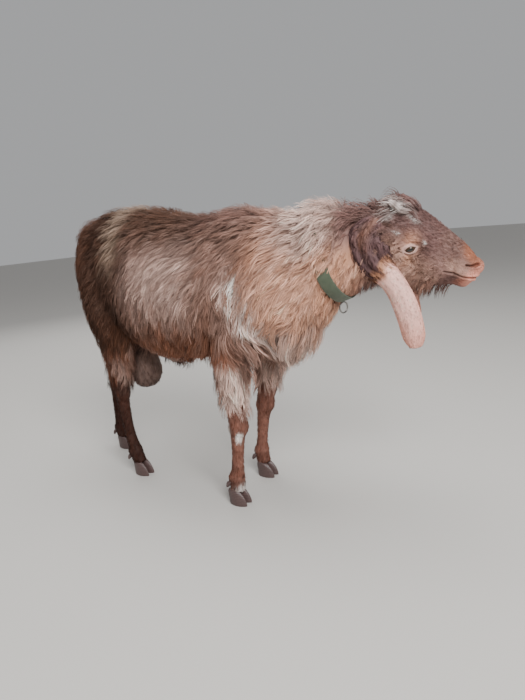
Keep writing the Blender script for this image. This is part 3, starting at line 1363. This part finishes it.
# %% Grow tufts
def grow(kind, roots, normals, lie, tree, rng):
    """Points and normals of a kind's tufts: three points to each ring and one at the tip."""
    leaders, clumps = find_clumps(roots, kind.clump, rng)
    depth = min(ROOT_DEPTH, 0.1 * kind.length)
    length = kind.length * alike(rng, clumps, 0.78, 1.20, 0.18)
    width = kind.width * rng.uniform(0.75, 1.25, len(roots))
    lift = kind.lift * alike(rng, clumps, *CLUMP_LIFT, 0.30)
    sway = rng.normal(0.0, 0.20, clumps.max() + 1)[clumps] + rng.normal(0.0, 0.07, len(roots))
    phase = alike(rng, clumps, 0.0, 2 * math.pi, 0.06)
    pull = CLUMP_PULL * (leaders - roots)
    here, out = roots - normals * depth, normals
    points, slopes = [], []
    widths = tuft_widths(kind.rings)
    for k in range(kind.rings + 1):
        t = k / kind.rings
        way = lie(here, out)
        side = np.cross(way, out)
        way = unit(way + side * (sway + kind.curl * np.sin(phase + 5.0 * t))[:, None])
        fall = kind.hang * min(1.0, 0.25 + 1.5 * t)
        way = unit(way * (1 - fall) + np.array((0.0, 0.0, -1.0)) * fall)
        side = unit(np.cross(way, out))
        high = np.interp(t, np.linspace(0, 1, len(TUFT_RISE)), TUFT_RISE) * lift
        middle = here + out * high[:, None] + pull * t
        if k == kind.rings:
            points.append(middle[:, None])
            slopes.append(unit(out * 0.7 + way * 0.5)[:, None])
            break
        across = side * (width / 2 * widths[k])[:, None]
        ridge = out * (width * 0.35 * widths[k])[:, None]
        points.append(np.stack([middle + across, middle + ridge, middle - across], axis=1))
        slopes.append(np.stack([unit(out + side * 0.55), out, unit(out - side * 0.55)], axis=1))
        here = here + way * (length / kind.rings)[:, None]
        near, slope = on_skin(here, tree)
        free = (kind.hang > 0.25) & (np.sum((here - near) * slope, axis=1) > 0.001)
        here = np.where(free[:, None], here, near)
        out = np.where(free[:, None], out, unit(out + slope))
    return np.concatenate(points, axis=1), np.concatenate(slopes, axis=1), clumps


def tuft_pattern(rings):
    """Triangles of one tuft, by the numbers of its points."""
    faces = [(0, 1, 2)]
    for k in range(rings - 1):
        for i in range(3):
            j = (i + 1) % 3
            a, b, c, d = 3 * k + i, 3 * k + j, 3 * k + 3 + j, 3 * k + 3 + i
            faces.extend([(a, c, b), (a, d, c)])
    last = 3 * (rings - 1)
    faces.extend([(last + i, last + 3, last + (i + 1) % 3) for i in range(3)])
    return np.array(faces)

# %% [markdown]
# ## From tufts to a mesh
# Tens of thousands of tufts become one mesh in a single step, because one object for each would be far
# too slow. Every point remembers its place on the tuft and its root's colour, for the finish.

# %% Join tufts in one mesh
def tuft_mesh(name, batches, charts, rng, colour_at):
    """One object of all tufts. Each keeps its root's marking and its patch of the skin's map."""
    points, slopes, faces, marks, along, across, tufts, maps = ([] for _ in range(8))
    start = 0
    for (kind, roots, grown, bent, clumps), chart in zip(batches, charts):
        count, size = grown.shape[:2]
        pattern = tuft_pattern(kind.rings)
        faces.append((pattern[None] + (start + np.arange(count) * size)[:, None, None]).reshape(-1, 3))
        points.append(grown.reshape(-1, 3))
        slopes.append(bent.reshape(-1, 3))
        steps = np.append(np.repeat(np.arange(kind.rings), 3), kind.rings) / kind.rings
        sides = np.append(np.tile((-1.0, 0.0, 1.0), kind.rings), 0.0)
        along.append(np.tile(steps, count))
        across.append(np.tile(sides, count))
        tufts.append(np.repeat(rng.random(count), size))
        marks.append(np.repeat(colour_at(roots, clumps, rng), size, axis=0))
        spread = np.column_stack([sides * 0.5, steps - 0.5]) * PATCH_SIZE
        maps.append((chart[:, None] + spread[None]).reshape(-1, 2))
        start += count * size
    points, faces = np.vstack(points), np.vstack(faces)
    mesh = bpy.data.meshes.new(name)
    mesh.vertices.add(len(points))
    mesh.vertices.foreach_set("co", points.astype(np.float32).ravel())
    mesh.loops.add(len(faces) * 3)
    mesh.loops.foreach_set("vertex_index", faces.astype(np.int32).ravel())
    mesh.polygons.add(len(faces))
    mesh.polygons.foreach_set("loop_start", np.arange(0, len(faces) * 3, 3, dtype=np.int32))
    mesh.update(calc_edges=True)
    add_attribute(mesh, "marking", "FLOAT_COLOR", np.column_stack([np.vstack(marks), np.ones(len(points))]))
    add_attribute(mesh, "along", "FLOAT", np.concatenate(along))
    add_attribute(mesh, "across", "FLOAT", np.concatenate(across))
    add_attribute(mesh, "tuft", "FLOAT", np.concatenate(tufts))
    layer = mesh.uv_layers.new(name="OFBake")
    layer.data.foreach_set("uv", np.vstack(maps)[faces.ravel()].astype(np.float32).ravel())
    mesh.polygons.foreach_set("use_smooth", np.ones(len(faces), dtype=bool))
    mesh.normals_split_custom_set_from_vertices(np.vstack(slopes).tolist())
    made = bpy.data.objects.new(name, mesh)
    bpy.context.scene.collection.objects.link(made)
    return made


# %% [markdown]
# ## The coat in pieces
# All tufts in one mesh would be too heavy to handle, so the coat is split into regions. Each has a
# flat map of its own part of the skin, unrolled round the body, neck, head or leg. A tuft takes a tiny
# patch of that map at its root, so baked colours stay those of the place where it grows.

# %% Unroll the skin
def leg_axis(name, z):
    rows = smooth_rows(LEGS[name][:, :3], 3)[::-1]
    return np.interp(z, rows[:, 2], rows[:, 0]), np.interp(z, rows[:, 2], rows[:, 1])


def region_at(points, kinds):
    """The name of the coat piece that each root belongs to."""
    x, y, z = points.T
    kind = np.array(KIND_NAMES + [""])[kinds]
    head = np.isin(kind, ("poll", "brow", "cheek", "jaw", "chin", "nose"))
    side = np.where(np.where(head, in_head(points)[:, 1], y) > 0, "left", "right")
    behind = [x < -0.40, x < -0.22, x < -0.03, x < 0.16]
    part = np.select(behind, ["rump", "loin", "barrel", "shoulder"], "neck")
    part = np.where(head, "head", part)
    legs = np.isin(kind, ("thigh", "feather", "shank"))
    part = np.where(legs, np.where(x > -0.2, "leg_front", "leg_rear"), part)
    part = np.where(kind == "tail", "tail", part)
    part = np.where(kind == "pouch", "pouch", part)
    return np.where(np.isin(part, ("tail", "pouch")), part, np.char.add(np.char.add(part, "_"), side))


def unroll(points, region):
    """Places on the region's own flat map, from 0 to 1: along it, and round it."""
    x, y, z = points.T
    if region.startswith("leg"):
        middle_x, middle_y = leg_axis(region[4:], z)
        along, round_it = z, np.arctan2(y - middle_y, x - middle_x)
    elif region in ("tail", "pouch"):
        along, round_it = z, np.arctan2(y, x - x.mean())
    elif region.startswith("head"):
        at = in_head(points)
        along, round_it = at[:, 0], np.arctan2(at[:, 2] + 0.005, np.abs(at[:, 1]))
    else:
        along, round_it = x - 0.3 * (z - 0.6) * (x > 0.16), np.arctan2(z - 0.63, np.abs(y))
    flat = np.column_stack([along, round_it])
    low, high = flat.min(axis=0), flat.max(axis=0)
    return 0.02 + 0.96 * (flat - low) / (high - low)


# %% Roan hair
def roan(colours, clumps, rng):
    """Mix white and red hairs into a coat: whole clumps lean one way, and single tufts vary."""
    lean = rng.normal(0.0, 0.55, clumps.max() + 1)[clumps] + rng.normal(0.0, 0.55, len(clumps))
    pale = np.clip(lean, 0.0, 1.6) * 0.38
    red = np.clip(-lean, 0.0, 1.6) * 0.34
    glow = np.exp(rng.normal(0.0, 0.20, clumps.max() + 1)[clumps] + rng.normal(0.0, 0.12, len(clumps)))
    colours = np.clip(colours * glow[:, None], 0.0, 0.9)
    bright = colours.mean(axis=1, keepdims=True)
    whiter = np.minimum(1.0, colours * 0.7 + np.array(FROST) * (0.03 + 1.0 * bright))
    redder = colours * (0.66, 0.52, 0.46)
    colours = colours + (whiter - colours) * pale[:, None]
    return colours + (redder - colours) * red[:, None]


def hair_colour(roots, clumps, rng):
    return roan(markings(roots), clumps, rng)


# %% [markdown]
# ## Ears
# A nubian's ears are long, broad and hang down past the jaw. The ear leaves the head as a rolled
# tube, spreads on the neck as a broad lap, and ends in a flat blade. It is drawn as a band bent
# round its middle line, thick in the middle and thin at the rims.

# %% The ears' form
EAR = np.array([
    (-70, 50, 6, 16, 40), (-70, 70, -13, 34, 34), (-63, 84, -42, 46, 32), (-41, 88, -63, 46, 34),
    (-16, 88, -75, 40, 40), (8, 87, -79, 32, 52), (35, 86, -83, 28, 66), (66, 88, -92, 27, 72),
    (102, 90, -109, 28, 66), (140, 90, -133, 28, 62), (172, 89, -158, 25, 58), (190, 88, -173, 13, 55),
]) / (1000, 1000, 1000, 1000, 1)
EAR_THICK = 0.0040
LEFT_EAR_BACK = 0.020
EAR_SIDES = 31
EAR_STEPS = 6
FLAP_FOLD = 0.0026
FLAP_SHARE = 0.46
RIM_ROLL = 0.0016
EAR_ROOM = ((-0.05, 0.07, -0.05), 0.10)
OUTER_FACE = 0.66


def ear_rows(side):
    """Middle line, half width and roll of an ear, from its root to its tip, in the head's frame."""
    back = LEFT_EAR_BACK if side > 0 else 0.0
    rows = EAR.copy()
    rows[:, 0] -= back * np.arange(len(rows)) / (len(rows) - 1)
    rows[:, 1] *= side
    return smooth_rows(rows, EAR_STEPS)


def ear_axes(rows, i, side):
    """The way down the ear at one of its rows, the way out of it, and the way across."""
    along = unit((rows[min(i + 1, len(rows) - 1)] - rows[max(i - 1, 0)])[None, :3])[0]
    out = np.array((0.0, side, 0.0))
    out = unit((out - along * (along @ out))[None])[0]
    return along, out, np.cross(along, out)


def ear_form(side):
    """Rings of an ear: a bent band with lengthwise folds on its broad part and rolled rims."""
    rows = ear_rows(side)
    place = np.linspace(-1, 1, EAR_SIDES)
    rim = np.abs(place) ** 6
    rings = []
    for i, row in enumerate(rows):
        _, out, across = ear_axes(rows, i, side)
        share = i / (len(rows) - 1)
        bend = math.radians(row[4])
        radius = row[3] / math.sin(bend)
        broad = float(step(share, 0.50, 0.30) * step(share, 0.02, 0.12))
        folds = FLAP_FOLD * broad * np.sin(place * 10.0 + 4.0 * share) * (1 - rim)
        veins = 0.0002 * np.sin(place * 17.0 + share * 5.0) * (1 - broad)
        outer = radius + folds + veins + RIM_ROLL * rim
        inner_face = outer - EAR_THICK * (1.0 - 0.30 * np.abs(place) ** 3)
        spread = place * bend
        lines = [row[:3] - out * radius + np.outer(np.cos(spread) * reach, out)
                 + np.outer(np.sin(spread) * reach, across) for reach in (outer, inner_face)]
        rings.append(np.vstack([lines[0], lines[1][::-1]]))
    return moved(loft(rings), HEAD_FRAME)


print("ear rows:", len(ear_rows(1)), "of", EAR_SIDES, "points on each face")


# %% The ears' hair
def along_ear(points, side):
    """The share of the way down the ear, the place across it, and the way that its hair lies."""
    rows = ear_rows(side)
    axes = [ear_axes(rows, i, side) for i in range(len(rows))]
    at = in_head(points)
    near = np.linalg.norm(at[:, None] - rows[None, :, :3], axis=2).argmin(axis=1)
    across = np.array([axis[2] for axis in axes])[near]
    ways = np.array([axis[0] for axis in axes])[near] @ HEAD_AXES.T
    place = np.sum((at - rows[near, :3]) * across, axis=1) / rows[near, 3]
    return near / (len(rows) - 1), place, ways


def ear_marks(points, side):
    """Dark short hair on the broad upper part, tan below it, then the pale blade."""
    share, place, _ = along_ear(points, side)
    down = share + 0.03 * drift(points, 0.025) + 0.04 * np.abs(place)
    colours = layered(np.tile(EAR_BROWN, (len(points), 1)), [
        (ORANGE, 0.28 * bump(place - 0.25, 0.35) * step(down, 0.30, 0.14)),
        (ORANGE, 0.9 * step(down, 0.38, 0.45)),
        (EAR_PALE, step(down, 0.46, 0.56)),
        (EAR_TIP, 0.85 * step(down, 0.70, 1.0)),
        (FACE_PINK, 0.35 * bump(np.abs(place) - 0.97, 0.10) * step(down, 0.5, 0.6)),
    ])
    shade = 1.0 + 0.07 * drift(points, 0.012) + 0.03 * np.sin(place * 11 + share * 9)
    return np.clip(colours * shade[:, None], 0.0, 1.0)


def grow_ear_hair(name, mesh, side):
    def kinds(points, normals):
        share, _, _ = along_ear(points, side)
        return np.where(share < FLAP_SHARE, KIND_NAMES.index("flap"), KIND_NAMES.index("blade"))

    def lie(points, normals):
        ways = along_ear(points, side)[2] + 0.15 * wander(points, 0.03, (1, 2, 3))
        return unit(ways - normals * np.sum(ways * normals, axis=1)[:, None])

    def colours(points, clumps, rng):
        return roan(ear_marks(points, side), clumps, rng)

    rng = np.random.default_rng(40 + side)
    tree = BVHTree.FromObject(bpy.data.objects[name], bpy.context.evaluated_depsgraph_get())
    places, ways, numbers = scatter(mesh, kinds, rng)
    share, place, _ = along_ear(places, side)
    front = np.where(np.arange(len(places)) % 2, 0.02, 0.52)
    chart = np.column_stack([0.02 + 0.96 * share, front + 0.46 * np.clip(0.5 + 0.5 * place, 0, 1)])
    batches, charts = [], []
    for number in sorted(set(numbers)):
        mine = numbers == number
        kind = KINDS[KIND_NAMES[number]]
        grown, slopes, clumps = grow(kind, places[mine], ways[mine], lie, tree, rng)
        batches.append((kind, places[mine], grown, slopes, clumps))
        charts.append(chart[mine])
    return tuft_mesh(f"coat_{name[:-5]}", batches, charts, rng, colours)


# %% Keep the coat off ears and eyes
def clears_ears(grown, reach):
    """Whether each tuft stays out of the space over the ears, as far out as the reach."""
    points = grown.reshape(-1, 3)
    clear = np.ones(len(points), dtype=bool)
    (x, y, z), room = EAR_ROOM
    for tree, side in EAR_TREES:
        close = np.flatnonzero(np.linalg.norm(in_head(points) - (x, y * side, z), axis=1) < room)
        near, slope = on_skin(points[close], tree)
        away = points[close] - near
        outer = (slope @ HEAD_AXES)[:, 1] * side > OUTER_FACE
        height, far = np.sum(away * slope, axis=1), np.linalg.norm(away, axis=1)
        over = (height > -0.001) & ((height > 0.6 * far) | (far < 0.0025))
        clear[close] &= ~(outer & over & (far < reach))
    return clear.reshape(grown.shape[:2]).all(axis=1)


def clears_eyes(grown):
    """Whether each tuft stays off the eyes' openings."""
    a, b, deep = in_eye(fold_sides(in_head(grown.reshape(-1, 3))))
    over = (np.hypot(a / OPENING[0], b / OPENING[1]) < 1.35) & (np.abs(deep) < 0.030)
    return ~over.reshape(grown.shape[:2]).any(axis=1)


# %% Make the ears
COAT_PIECES = []
EAR_TREES = []
EAR_SKIN = skin_material("ear skin", (1.0, 1.0, 0.35), 480.0, 0.16, 0.60, 0.35)
for side, name in ((-1, "ear_right"), (1, "ear_left")):
    ear = new_object(f"{name}_skin", *ear_form(side))
    smoother = ear.modifiers.new("Round", "SUBSURF")
    smoother.levels = 1
    smoother.render_levels = 1
    apply_modifiers(ear)
    places = get_points(ear.data)
    add_marks(ear.data, ear_marks(places, side), places)
    EAR_TREES.append((BVHTree.FromObject(ear, bpy.context.evaluated_depsgraph_get()), side))
    hair = grow_ear_hair(ear.name, ear.data, side)
    COAT_PIECES.append(finish_piece(hair, FUR, ()))
    finish_piece(ear, EAR_SKIN, (name,))

# %% [markdown]
# ## Growing the coat
# Each region of the coat grows by itself, kind by kind. Tufts that would cross the collar, an eye
# or the outer face of an ear are left out. Where the ears lie on the neck, short flat tufts grow
# instead, so that no bare skin shows beside them.

# %% Grow the coat
OVER_GROUND = 0.003
LONG_REACH = 0.030
SHORT_REACH = 0.008


def add_batch(batches, charts, kind, places, tufts, chart, kept):
    """Add those tufts that are kept, with their roots and their places on the flat map."""
    grown, slopes, clumps = tufts
    batches.append((kind, places[kept], grown[kept], slopes[kept], clumps[kept]))
    charts.append(chart[kept])


def grow_region(region, chosen, rng):
    """The tufts of one region, kind by kind."""
    batches, charts = [], []
    flat = unroll(roots[chosen], region)
    for number in sorted(set(root_kinds[chosen])):
        mine = root_kinds[chosen] == number
        kind = KINDS[KIND_NAMES[number]]
        places, ways, chart = roots[chosen][mine], root_normals[chosen][mine], flat[mine]
        grown, slopes, clumps = grow(kind, places, ways, lie_of_coat, SKIN_TREE, rng)
        grown = squeeze_under(grown)
        kept = clears_collar(grown) & (grown[..., 2].min(axis=1) > OVER_GROUND)
        if region.startswith("head"):
            kept &= clears_eyes(grown)
        beside = clears_ears(grown, LONG_REACH) | (not region.startswith("neck"))
        kept &= beside
        add_batch(batches, charts, kind, places, (grown, slopes, clumps), chart, kept)
        if not beside.all():
            places, ways, chart = places[~kept], ways[~kept], chart[~kept]
            tufts = grow(KINDS["nape"], places, ways, lie_of_coat, SKIN_TREE, rng)
            kept = clears_collar(tufts[0]) & clears_ears(tufts[0], SHORT_REACH)
            add_batch(batches, charts, KINDS["nape"], places, tufts, chart, kept)
    return batches, charts


regions = region_at(roots, root_kinds)
for number, region in enumerate(sorted(set(regions))):
    rng = np.random.default_rng(100 + number)
    chosen = np.flatnonzero((regions == region) & (root_kinds >= 0))
    batches, charts = grow_region(region, chosen, rng)
    piece = tuft_mesh(f"coat_{region}", batches, charts, rng, hair_colour)
    COAT_PIECES.append(finish_piece(piece, COAT, ()))
finish_piece(skin, SKIN, FLESH_NODES)
print("coat:", sum(len(p.data.polygons) for p in COAT_PIECES), "triangles in", len(COAT_PIECES), "pieces")

# %% [markdown]
# ## Eyes
# A goat has an amber eye with a wide level pupil, which lets it watch the whole horizon. The
# ball is a sphere with a slight bulge in front. The iris is drawn by place on the ball, so it needs
# no image, and a clear coat over it gives the wet shine.

# %% Eyes
PUPIL = (0.46, 0.155)
IRIS = 0.66
BEHIND_LIDS = 0.0002


def eye_material():
    """Amber iris with fine spokes, a level pupil and a dark rim, under a wet clear coat."""
    made, tree, shader = new_material("eye", 0.20, Specular_IOR_Level=0.4, Coat_Weight=0.55,
                                      Coat_Roughness=0.03)
    x, y, _ = split_vector(tree, attribute(tree, "place"))
    long, high = (maths(tree, "ABSOLUTE", maths(tree, "DIVIDE", value, half))
                  for value, half in zip((x, y), PUPIL))
    pupil = maths(tree, "ADD", maths(tree, "POWER", long, 3.0), maths(tree, "POWER", high, 3.0))
    square = maths(tree, "ADD", maths(tree, "POWER", x, 2.0), maths(tree, "POWER", y, 2.0))
    off_centre = maths(tree, "SQRT", square)
    turn = maths(tree, "MULTIPLY", maths(tree, "ARCTAN2", y, x), 9.0)
    outwards = maths(tree, "MULTIPLY", off_centre, 2.0)
    spokes = add_node(tree, "ShaderNodeCombineXYZ", ((0, turn), (1, outwards)))
    streaks = noise(tree, spokes.outputs[0], 2.0)
    iris = mix_colour(tree, streaks, (0.020, 0.011, 0.006, 1), (0.075, 0.038, 0.016, 1))
    rim = between(tree, off_centre, IRIS - 0.03, IRIS + 0.04, 0.0, 1.0)
    ball_colour = mix_colour(tree, rim, iris, (0.030, 0.018, 0.014, 1))
    around = between(tree, pupil, 0.8, 1.2, 0.0, 1.0)
    seen = mix_colour(tree, around, (0.004, 0.004, 0.005, 1), ball_colour)
    tree.links.new(seen, shader.inputs["Base Color"])
    return made


EYE = eye_material()
for s, name in ((-1, "eye_right"), (1, "eye_left")):
    look, long, high = eye_axes(s)
    points, faces = ball((0, 0, 0), (1, 1, 1), detail=(48, 32))
    axes = np.array((long, high, look))
    local = points[:, (1, 2, 0)]
    bulge = 1.0 + 0.05 * np.exp(-(np.hypot(local[:, 0], local[:, 1]) / 0.5) ** 4) * (local[:, 2] > 0)
    placed = EYE_PLACE * (1, s, 1) + (local * bulge[:, None] * (EYE_RADIUS - BEHIND_LIDS)) @ axes
    eye = new_object(f"{name}_ball", *moved((placed, faces), HEAD_FRAME))
    add_attribute(eye.data, "place", "FLOAT_VECTOR", local)
    finish_piece(eye, EYE, (name,))

# %% [markdown]
# ## Horn stumps
# This buck has no horns, only scurs: short knobbly stumps that grew back at the poll. They are
# low blunt cones, with grooves along them and a few rings round them, since horn grows from its
# base in steps. Stumps and claws share one grain, so it is a group, placed with other tones.

# %% Horn group
horn_grain, given, result = new_group(
    "Horn grain",
    [("Pale", "colour", (0.6, 0.5, 0.5, 1)), ("Deep", "colour", (0.1, 0.1, 0.1, 1)),
     ("Place", "vector", (0, 0, 0)), ("Scale", "value", 90.0)],
    [("Color", "colour"), ("Height", "value")])
place, scale = given.outputs["Place"], given.outputs["Scale"]
wave = add_node(horn_grain, "ShaderNodeTexWave", (("Vector", place), ("Scale", scale), ("Distortion", 2.5),
                                                  ("Detail", 2.0)), bands_direction="Z")
grain = noise(horn_grain, place, maths(horn_grain, "MULTIPLY", scale, 3.0), 3.0)
both = maths(horn_grain, "MULTIPLY", maths(horn_grain, "ADD", wave.outputs["Fac"], grain), 0.5)
horn_colour = mix_colour(horn_grain, both, given.outputs["Deep"], given.outputs["Pale"])
horn_grain.links.new(horn_colour, result.inputs["Color"])
horn_grain.links.new(both, result.inputs["Height"])
print("group:", horn_grain.name)

# %% Horn stumps
SCUR_ROOT = (-0.036, 0.038, 0.051)
SCUR_TIP = (-0.080, 0.047, 0.050)
SCUR_RADIUS = 0.0098


def horn_material(name, pale, deep, scale, roughness):
    """Horn: fibres along it, rings round it and a darker tone in the hollows."""
    made, tree, shader = new_material(name, roughness, Specular_IOR_Level=0.45)
    node = add_node(tree, "ShaderNodeGroup", (
        ("Pale", (*pale, 1)), ("Deep", (*deep, 1)), ("Place", attribute(tree, "place")),
        ("Scale", scale)), node_tree=horn_grain)
    finish_surface(tree, shader, node.outputs["Color"], node.outputs["Height"], 0.5, 0.0008)
    return made


HORN = horn_material("horn", (0.62, 0.53, 0.50), (0.14, 0.10, 0.085), 90.0, 0.60)
CLAW = horn_material("claw", (0.120, 0.075, 0.068), (0.045, 0.026, 0.025), 70.0, 0.42)
for side, name in ((-1, "scur_right"), (1, "scur_left")):
    root, tip = np.array(SCUR_ROOT) * (1, side, 1), np.array(SCUR_TIP) * (1, side, 1)
    along = (tip - root) / np.linalg.norm(tip - root)
    across = np.cross(along, (0, 0, 1))
    across = across / np.linalg.norm(across)
    up = np.cross(across, along)
    turn = np.linspace(0, 2 * math.pi, 96, endpoint=False)
    rings = []
    for t in np.linspace(0.0, 1.0, 40):
        size = SCUR_RADIUS * (1 - 0.25 * t) * math.sqrt(max(0.02, 1 - max(0.0, (t - 0.72) / 0.28) ** 2))
        size *= 0.94 + 0.04 * math.sin(t * 30) + 0.05 * math.sin(t * 13 + side)
        wave = 0.86 + 0.17 * np.abs(np.sin(4.5 * turn + 3 * t)) + 0.05 * np.sin(3 * turn - 5 * t)
        wave = wave + 0.05 * np.abs(np.sin(13 * turn - 4 * t))
        rings.append(root + (tip - root) * t + np.outer(np.cos(turn) * size * wave, across)
                     + np.outer(np.sin(turn) * size * wave, up))
    stump = new_object(f"{name}_horn", *moved(loft(rings), HEAD_FRAME))
    own = np.vstack(rings) @ np.array((across, up, along)).T
    add_attribute(stump.data, "place", "FLOAT_VECTOR", own * (1, 1, 0.15))
    finish_piece(stump, HORN, (name,))

# %% [markdown]
# ## Claws
# Each foot has two claws with flat soles and a cleft between them. The horn grows down from the
# hair line in rings, is widest at the ground, and its toe wears to a rounded point.

# %% Claws
FEET = {"front_right": (0.026, -0.105), "front_left": (0.010, 0.076), "rear_right": (-0.386, -0.075),
        "rear_left": (-0.613, 0.066)}
CLAW_LENGTH = 0.058
CLAW_WIDTH = 0.0225
CLEFT = 0.0024
CLAW_ROWS = [(0.0, 0.94, 0.000), (0.002, 1.0, 0.000), (0.010, 1.0, 0.001), (0.020, 0.94, 0.003),
             (0.030, 0.88, 0.006), (0.040, 0.80, 0.009), (0.048, 0.60, 0.011)]
DEWCLAW_PLACE = np.array((-0.019, 0.0, 0.004))
DEWCLAW_APART = 0.012
DEWCLAW_ROWS = [(0.0, 0.0040), (0.003, 0.0078), (0.009, 0.0080), (0.016, 0.0062), (0.021, 0.0036),
                (0.023, 0.0010)]


def dewclaw_form(root, side):
    """A small blunt cone that points down and back."""
    rings = []
    turn = np.linspace(0, 2 * math.pi, 20, endpoint=False)
    for down, size in DEWCLAW_ROWS:
        middle = root + np.array((-0.42 * down, side * 0.12 * down, -0.90 * down))
        rings.append(middle + np.column_stack([np.cos(turn) * size, np.sin(turn) * size * 0.8, 0 * turn]))
    return loft(rings)


def claw_form(foot, side):
    """One claw of a foot: rings from its flat sole up to the hair line."""
    x, y = FEET[foot]
    rings = []
    for height, size, back in smooth_rows(CLAW_ROWS, 3):
        turn = np.linspace(0, 2 * math.pi, 36, endpoint=False)
        reach = np.cos(turn)
        narrow = 1.0 - 0.35 * np.maximum(reach, 0.0) ** 2
        size = size * (1 + 0.006 * math.sin(height * 900))
        slant = max(height - 0.024, 0.0) * 0.36 * reach
        rings.append(np.column_stack([
            x - back + reach * CLAW_LENGTH / 2 * size,
            y + side * (CLAW_WIDTH + CLEFT) / 2 + np.sin(turn) * CLAW_WIDTH / 2 * size * narrow,
            height - np.minimum(slant, 0.006) * (reach > 0),
        ]))
    return loft(rings)


for foot in FEET:
    for side in (-1, 1):
        name = f"claw_{foot}_{'outer' if (side > 0) == foot.endswith('left') else 'inner'}"
        points, faces = claw_form(foot, side)
        claw = new_object(f"{name}_horn", points, faces)
        add_attribute(claw.data, "place", "FLOAT_VECTOR", points)
        finish_piece(claw, CLAW, (name,))
    station = LEGS[foot][-2, :3]
    forms = [dewclaw_form(station + DEWCLAW_PLACE + (0, s * DEWCLAW_APART, 0), s) for s in (-1, 1)]
    points, faces = joined(forms)
    dewclaws = new_object(f"dewclaws_{foot}", points, faces)
    add_attribute(dewclaws.data, "place", "FLOAT_VECTOR", points)
    finish_piece(dewclaws, CLAW, ())

# %% [markdown]
# ## Webbing and ring
# The band is woven nylon webbing, worn and a little faded, with a ring of bent steel wire at
# the throat. The weave is two crossed waves in a small repeating step. Where the coat hides the
# band, it lies a little deeper, so that no green shows between the tufts.

# %% The forms of band and ring
SUNK = 0.0075
BAND_STEPS = 160
BAND_SECTION = [(-0.50, 0.0006), (-0.46, 0.0), (0.0, 0.0), (0.46, 0.0), (0.50, 0.0006), (0.50, 0.0024),
                (0.46, 0.0030), (0.0, 0.0033), (-0.46, 0.0030), (-0.50, 0.0024)]
WEAVE = 2100.0
RING_RADIUS = 0.014
RING_WIRE = 0.002
RING_ACROSS = (0.35, 0.94)
RING_THROUGH = (0.94, -0.35, 0.0)


def webbing_material():
    """Green webbing: a fine crossed weave, with darker and more worn places."""
    made, tree, shader = new_material("webbing", 0.78, Specular_IOR_Level=0.25, Sheen_Weight=0.2)
    place = attribute(tree, "place")
    warp, weft = (maths(tree, "SINE", maths(tree, "MULTIPLY", value, WEAVE))
                  for value in tuple(split_vector(tree, place))[:2])
    weave = between(tree, maths(tree, "MULTIPLY", warp, weft), -1.0, 1.0, 0.0, 1.0)
    wear = noise(tree, place, 45.0, 4.0)
    green = mix_colour(tree, wear, (0.045, 0.068, 0.042, 1), (0.125, 0.145, 0.095, 1))
    colour = shaded(tree, green, between(tree, weave, 0.0, 1.0, 0.72, 1.15))
    finish_surface(tree, shader, colour, weave, 0.6, 0.0006)
    return made


def band_form():
    """The band's vertices and faces, and the places of its vertices on the flat webbing."""
    rings, places = [], []
    travelled = 0.0
    for i in range(BAND_STEPS):
        angle = 2 * math.pi * i / BAND_STEPS - math.pi
        reach = float(np.mean([collar_reach(angle + d) for d in (-0.08, 0.0, 0.08)]))
        aside = abs(math.remainder(angle - SHOWN_MIDDLE, 2 * math.pi))
        reach -= SUNK * float(step(aside, SHOWN_SECTOR - 0.10, SHOWN_SECTOR + 0.12))
        out = COLLAR_AXES[0] * math.cos(angle) + COLLAR_AXES[1] * math.sin(angle)
        rings.append(np.array([collar_middle + COLLAR_AXES[2] * w * COLLAR_WIDTH + out * (reach + d)
                               for w, d in BAND_SECTION]))
        places.extend((travelled, w * COLLAR_WIDTH, d) for w, d in BAND_SECTION)
        travelled += reach * 2 * math.pi / BAND_STEPS
    return *loft(rings, ends="joined"), places


def ring_form(centre):
    """A round wire ring, upright and square to the band."""
    turn = np.linspace(0, 2 * math.pi, 12, endpoint=False)
    rings = []
    for t in np.linspace(0, 2 * math.pi, 48, endpoint=False):
        out = np.array((RING_ACROSS[0] * math.cos(t), RING_ACROSS[1] * math.cos(t), math.sin(t)))
        rings.append(centre + np.outer(RING_RADIUS + RING_WIRE * np.cos(turn), out)
                     + np.outer(RING_WIRE * np.sin(turn), RING_THROUGH))
    return loft(rings, ends="joined")


# %% Webbing
WEBBING = webbing_material()
band_points, band_faces, band_places = band_form()
band = new_object("collar_band", band_points, band_faces)
add_attribute(band.data, "place", "FLOAT_VECTOR", band_places)
finish_piece(band, WEBBING, ("collar",))

# %% Steel ring
STEEL, tree, shader = new_material("dark steel", 0.38, Metallic=1.0)
scratches = add_node(tree, "ShaderNodeTexNoise", (("Scale", 160.0), ("Detail", 4.0))).outputs[0]
steel_colour = mix_colour(tree, scratches, (0.18, 0.17, 0.16, 1), (0.42, 0.41, 0.39, 1))
finish_surface(tree, shader, steel_colour, scratches, 0.2, 0.0003)
ring_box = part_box("collar_ring")
ring_centre = np.array([(a + b) / 2 for a, b in zip(*ring_box)]) - np.array(GOAT_SHIFT)
ring_piece = new_object("collar_steel_ring", *ring_form(ring_centre))
finish_piece(ring_piece, STEEL, ("collar_ring",))

# %% [markdown]
# ## Measure and finish
# The dressed goat must stay in the solid model's box, give or take a few millimetres of hair. Both
# boxes are written down, then the frame's own checks run.

# %% Measure and finish
low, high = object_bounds()
print("visual box", [round(v, 3) for v in (*low, *high)])
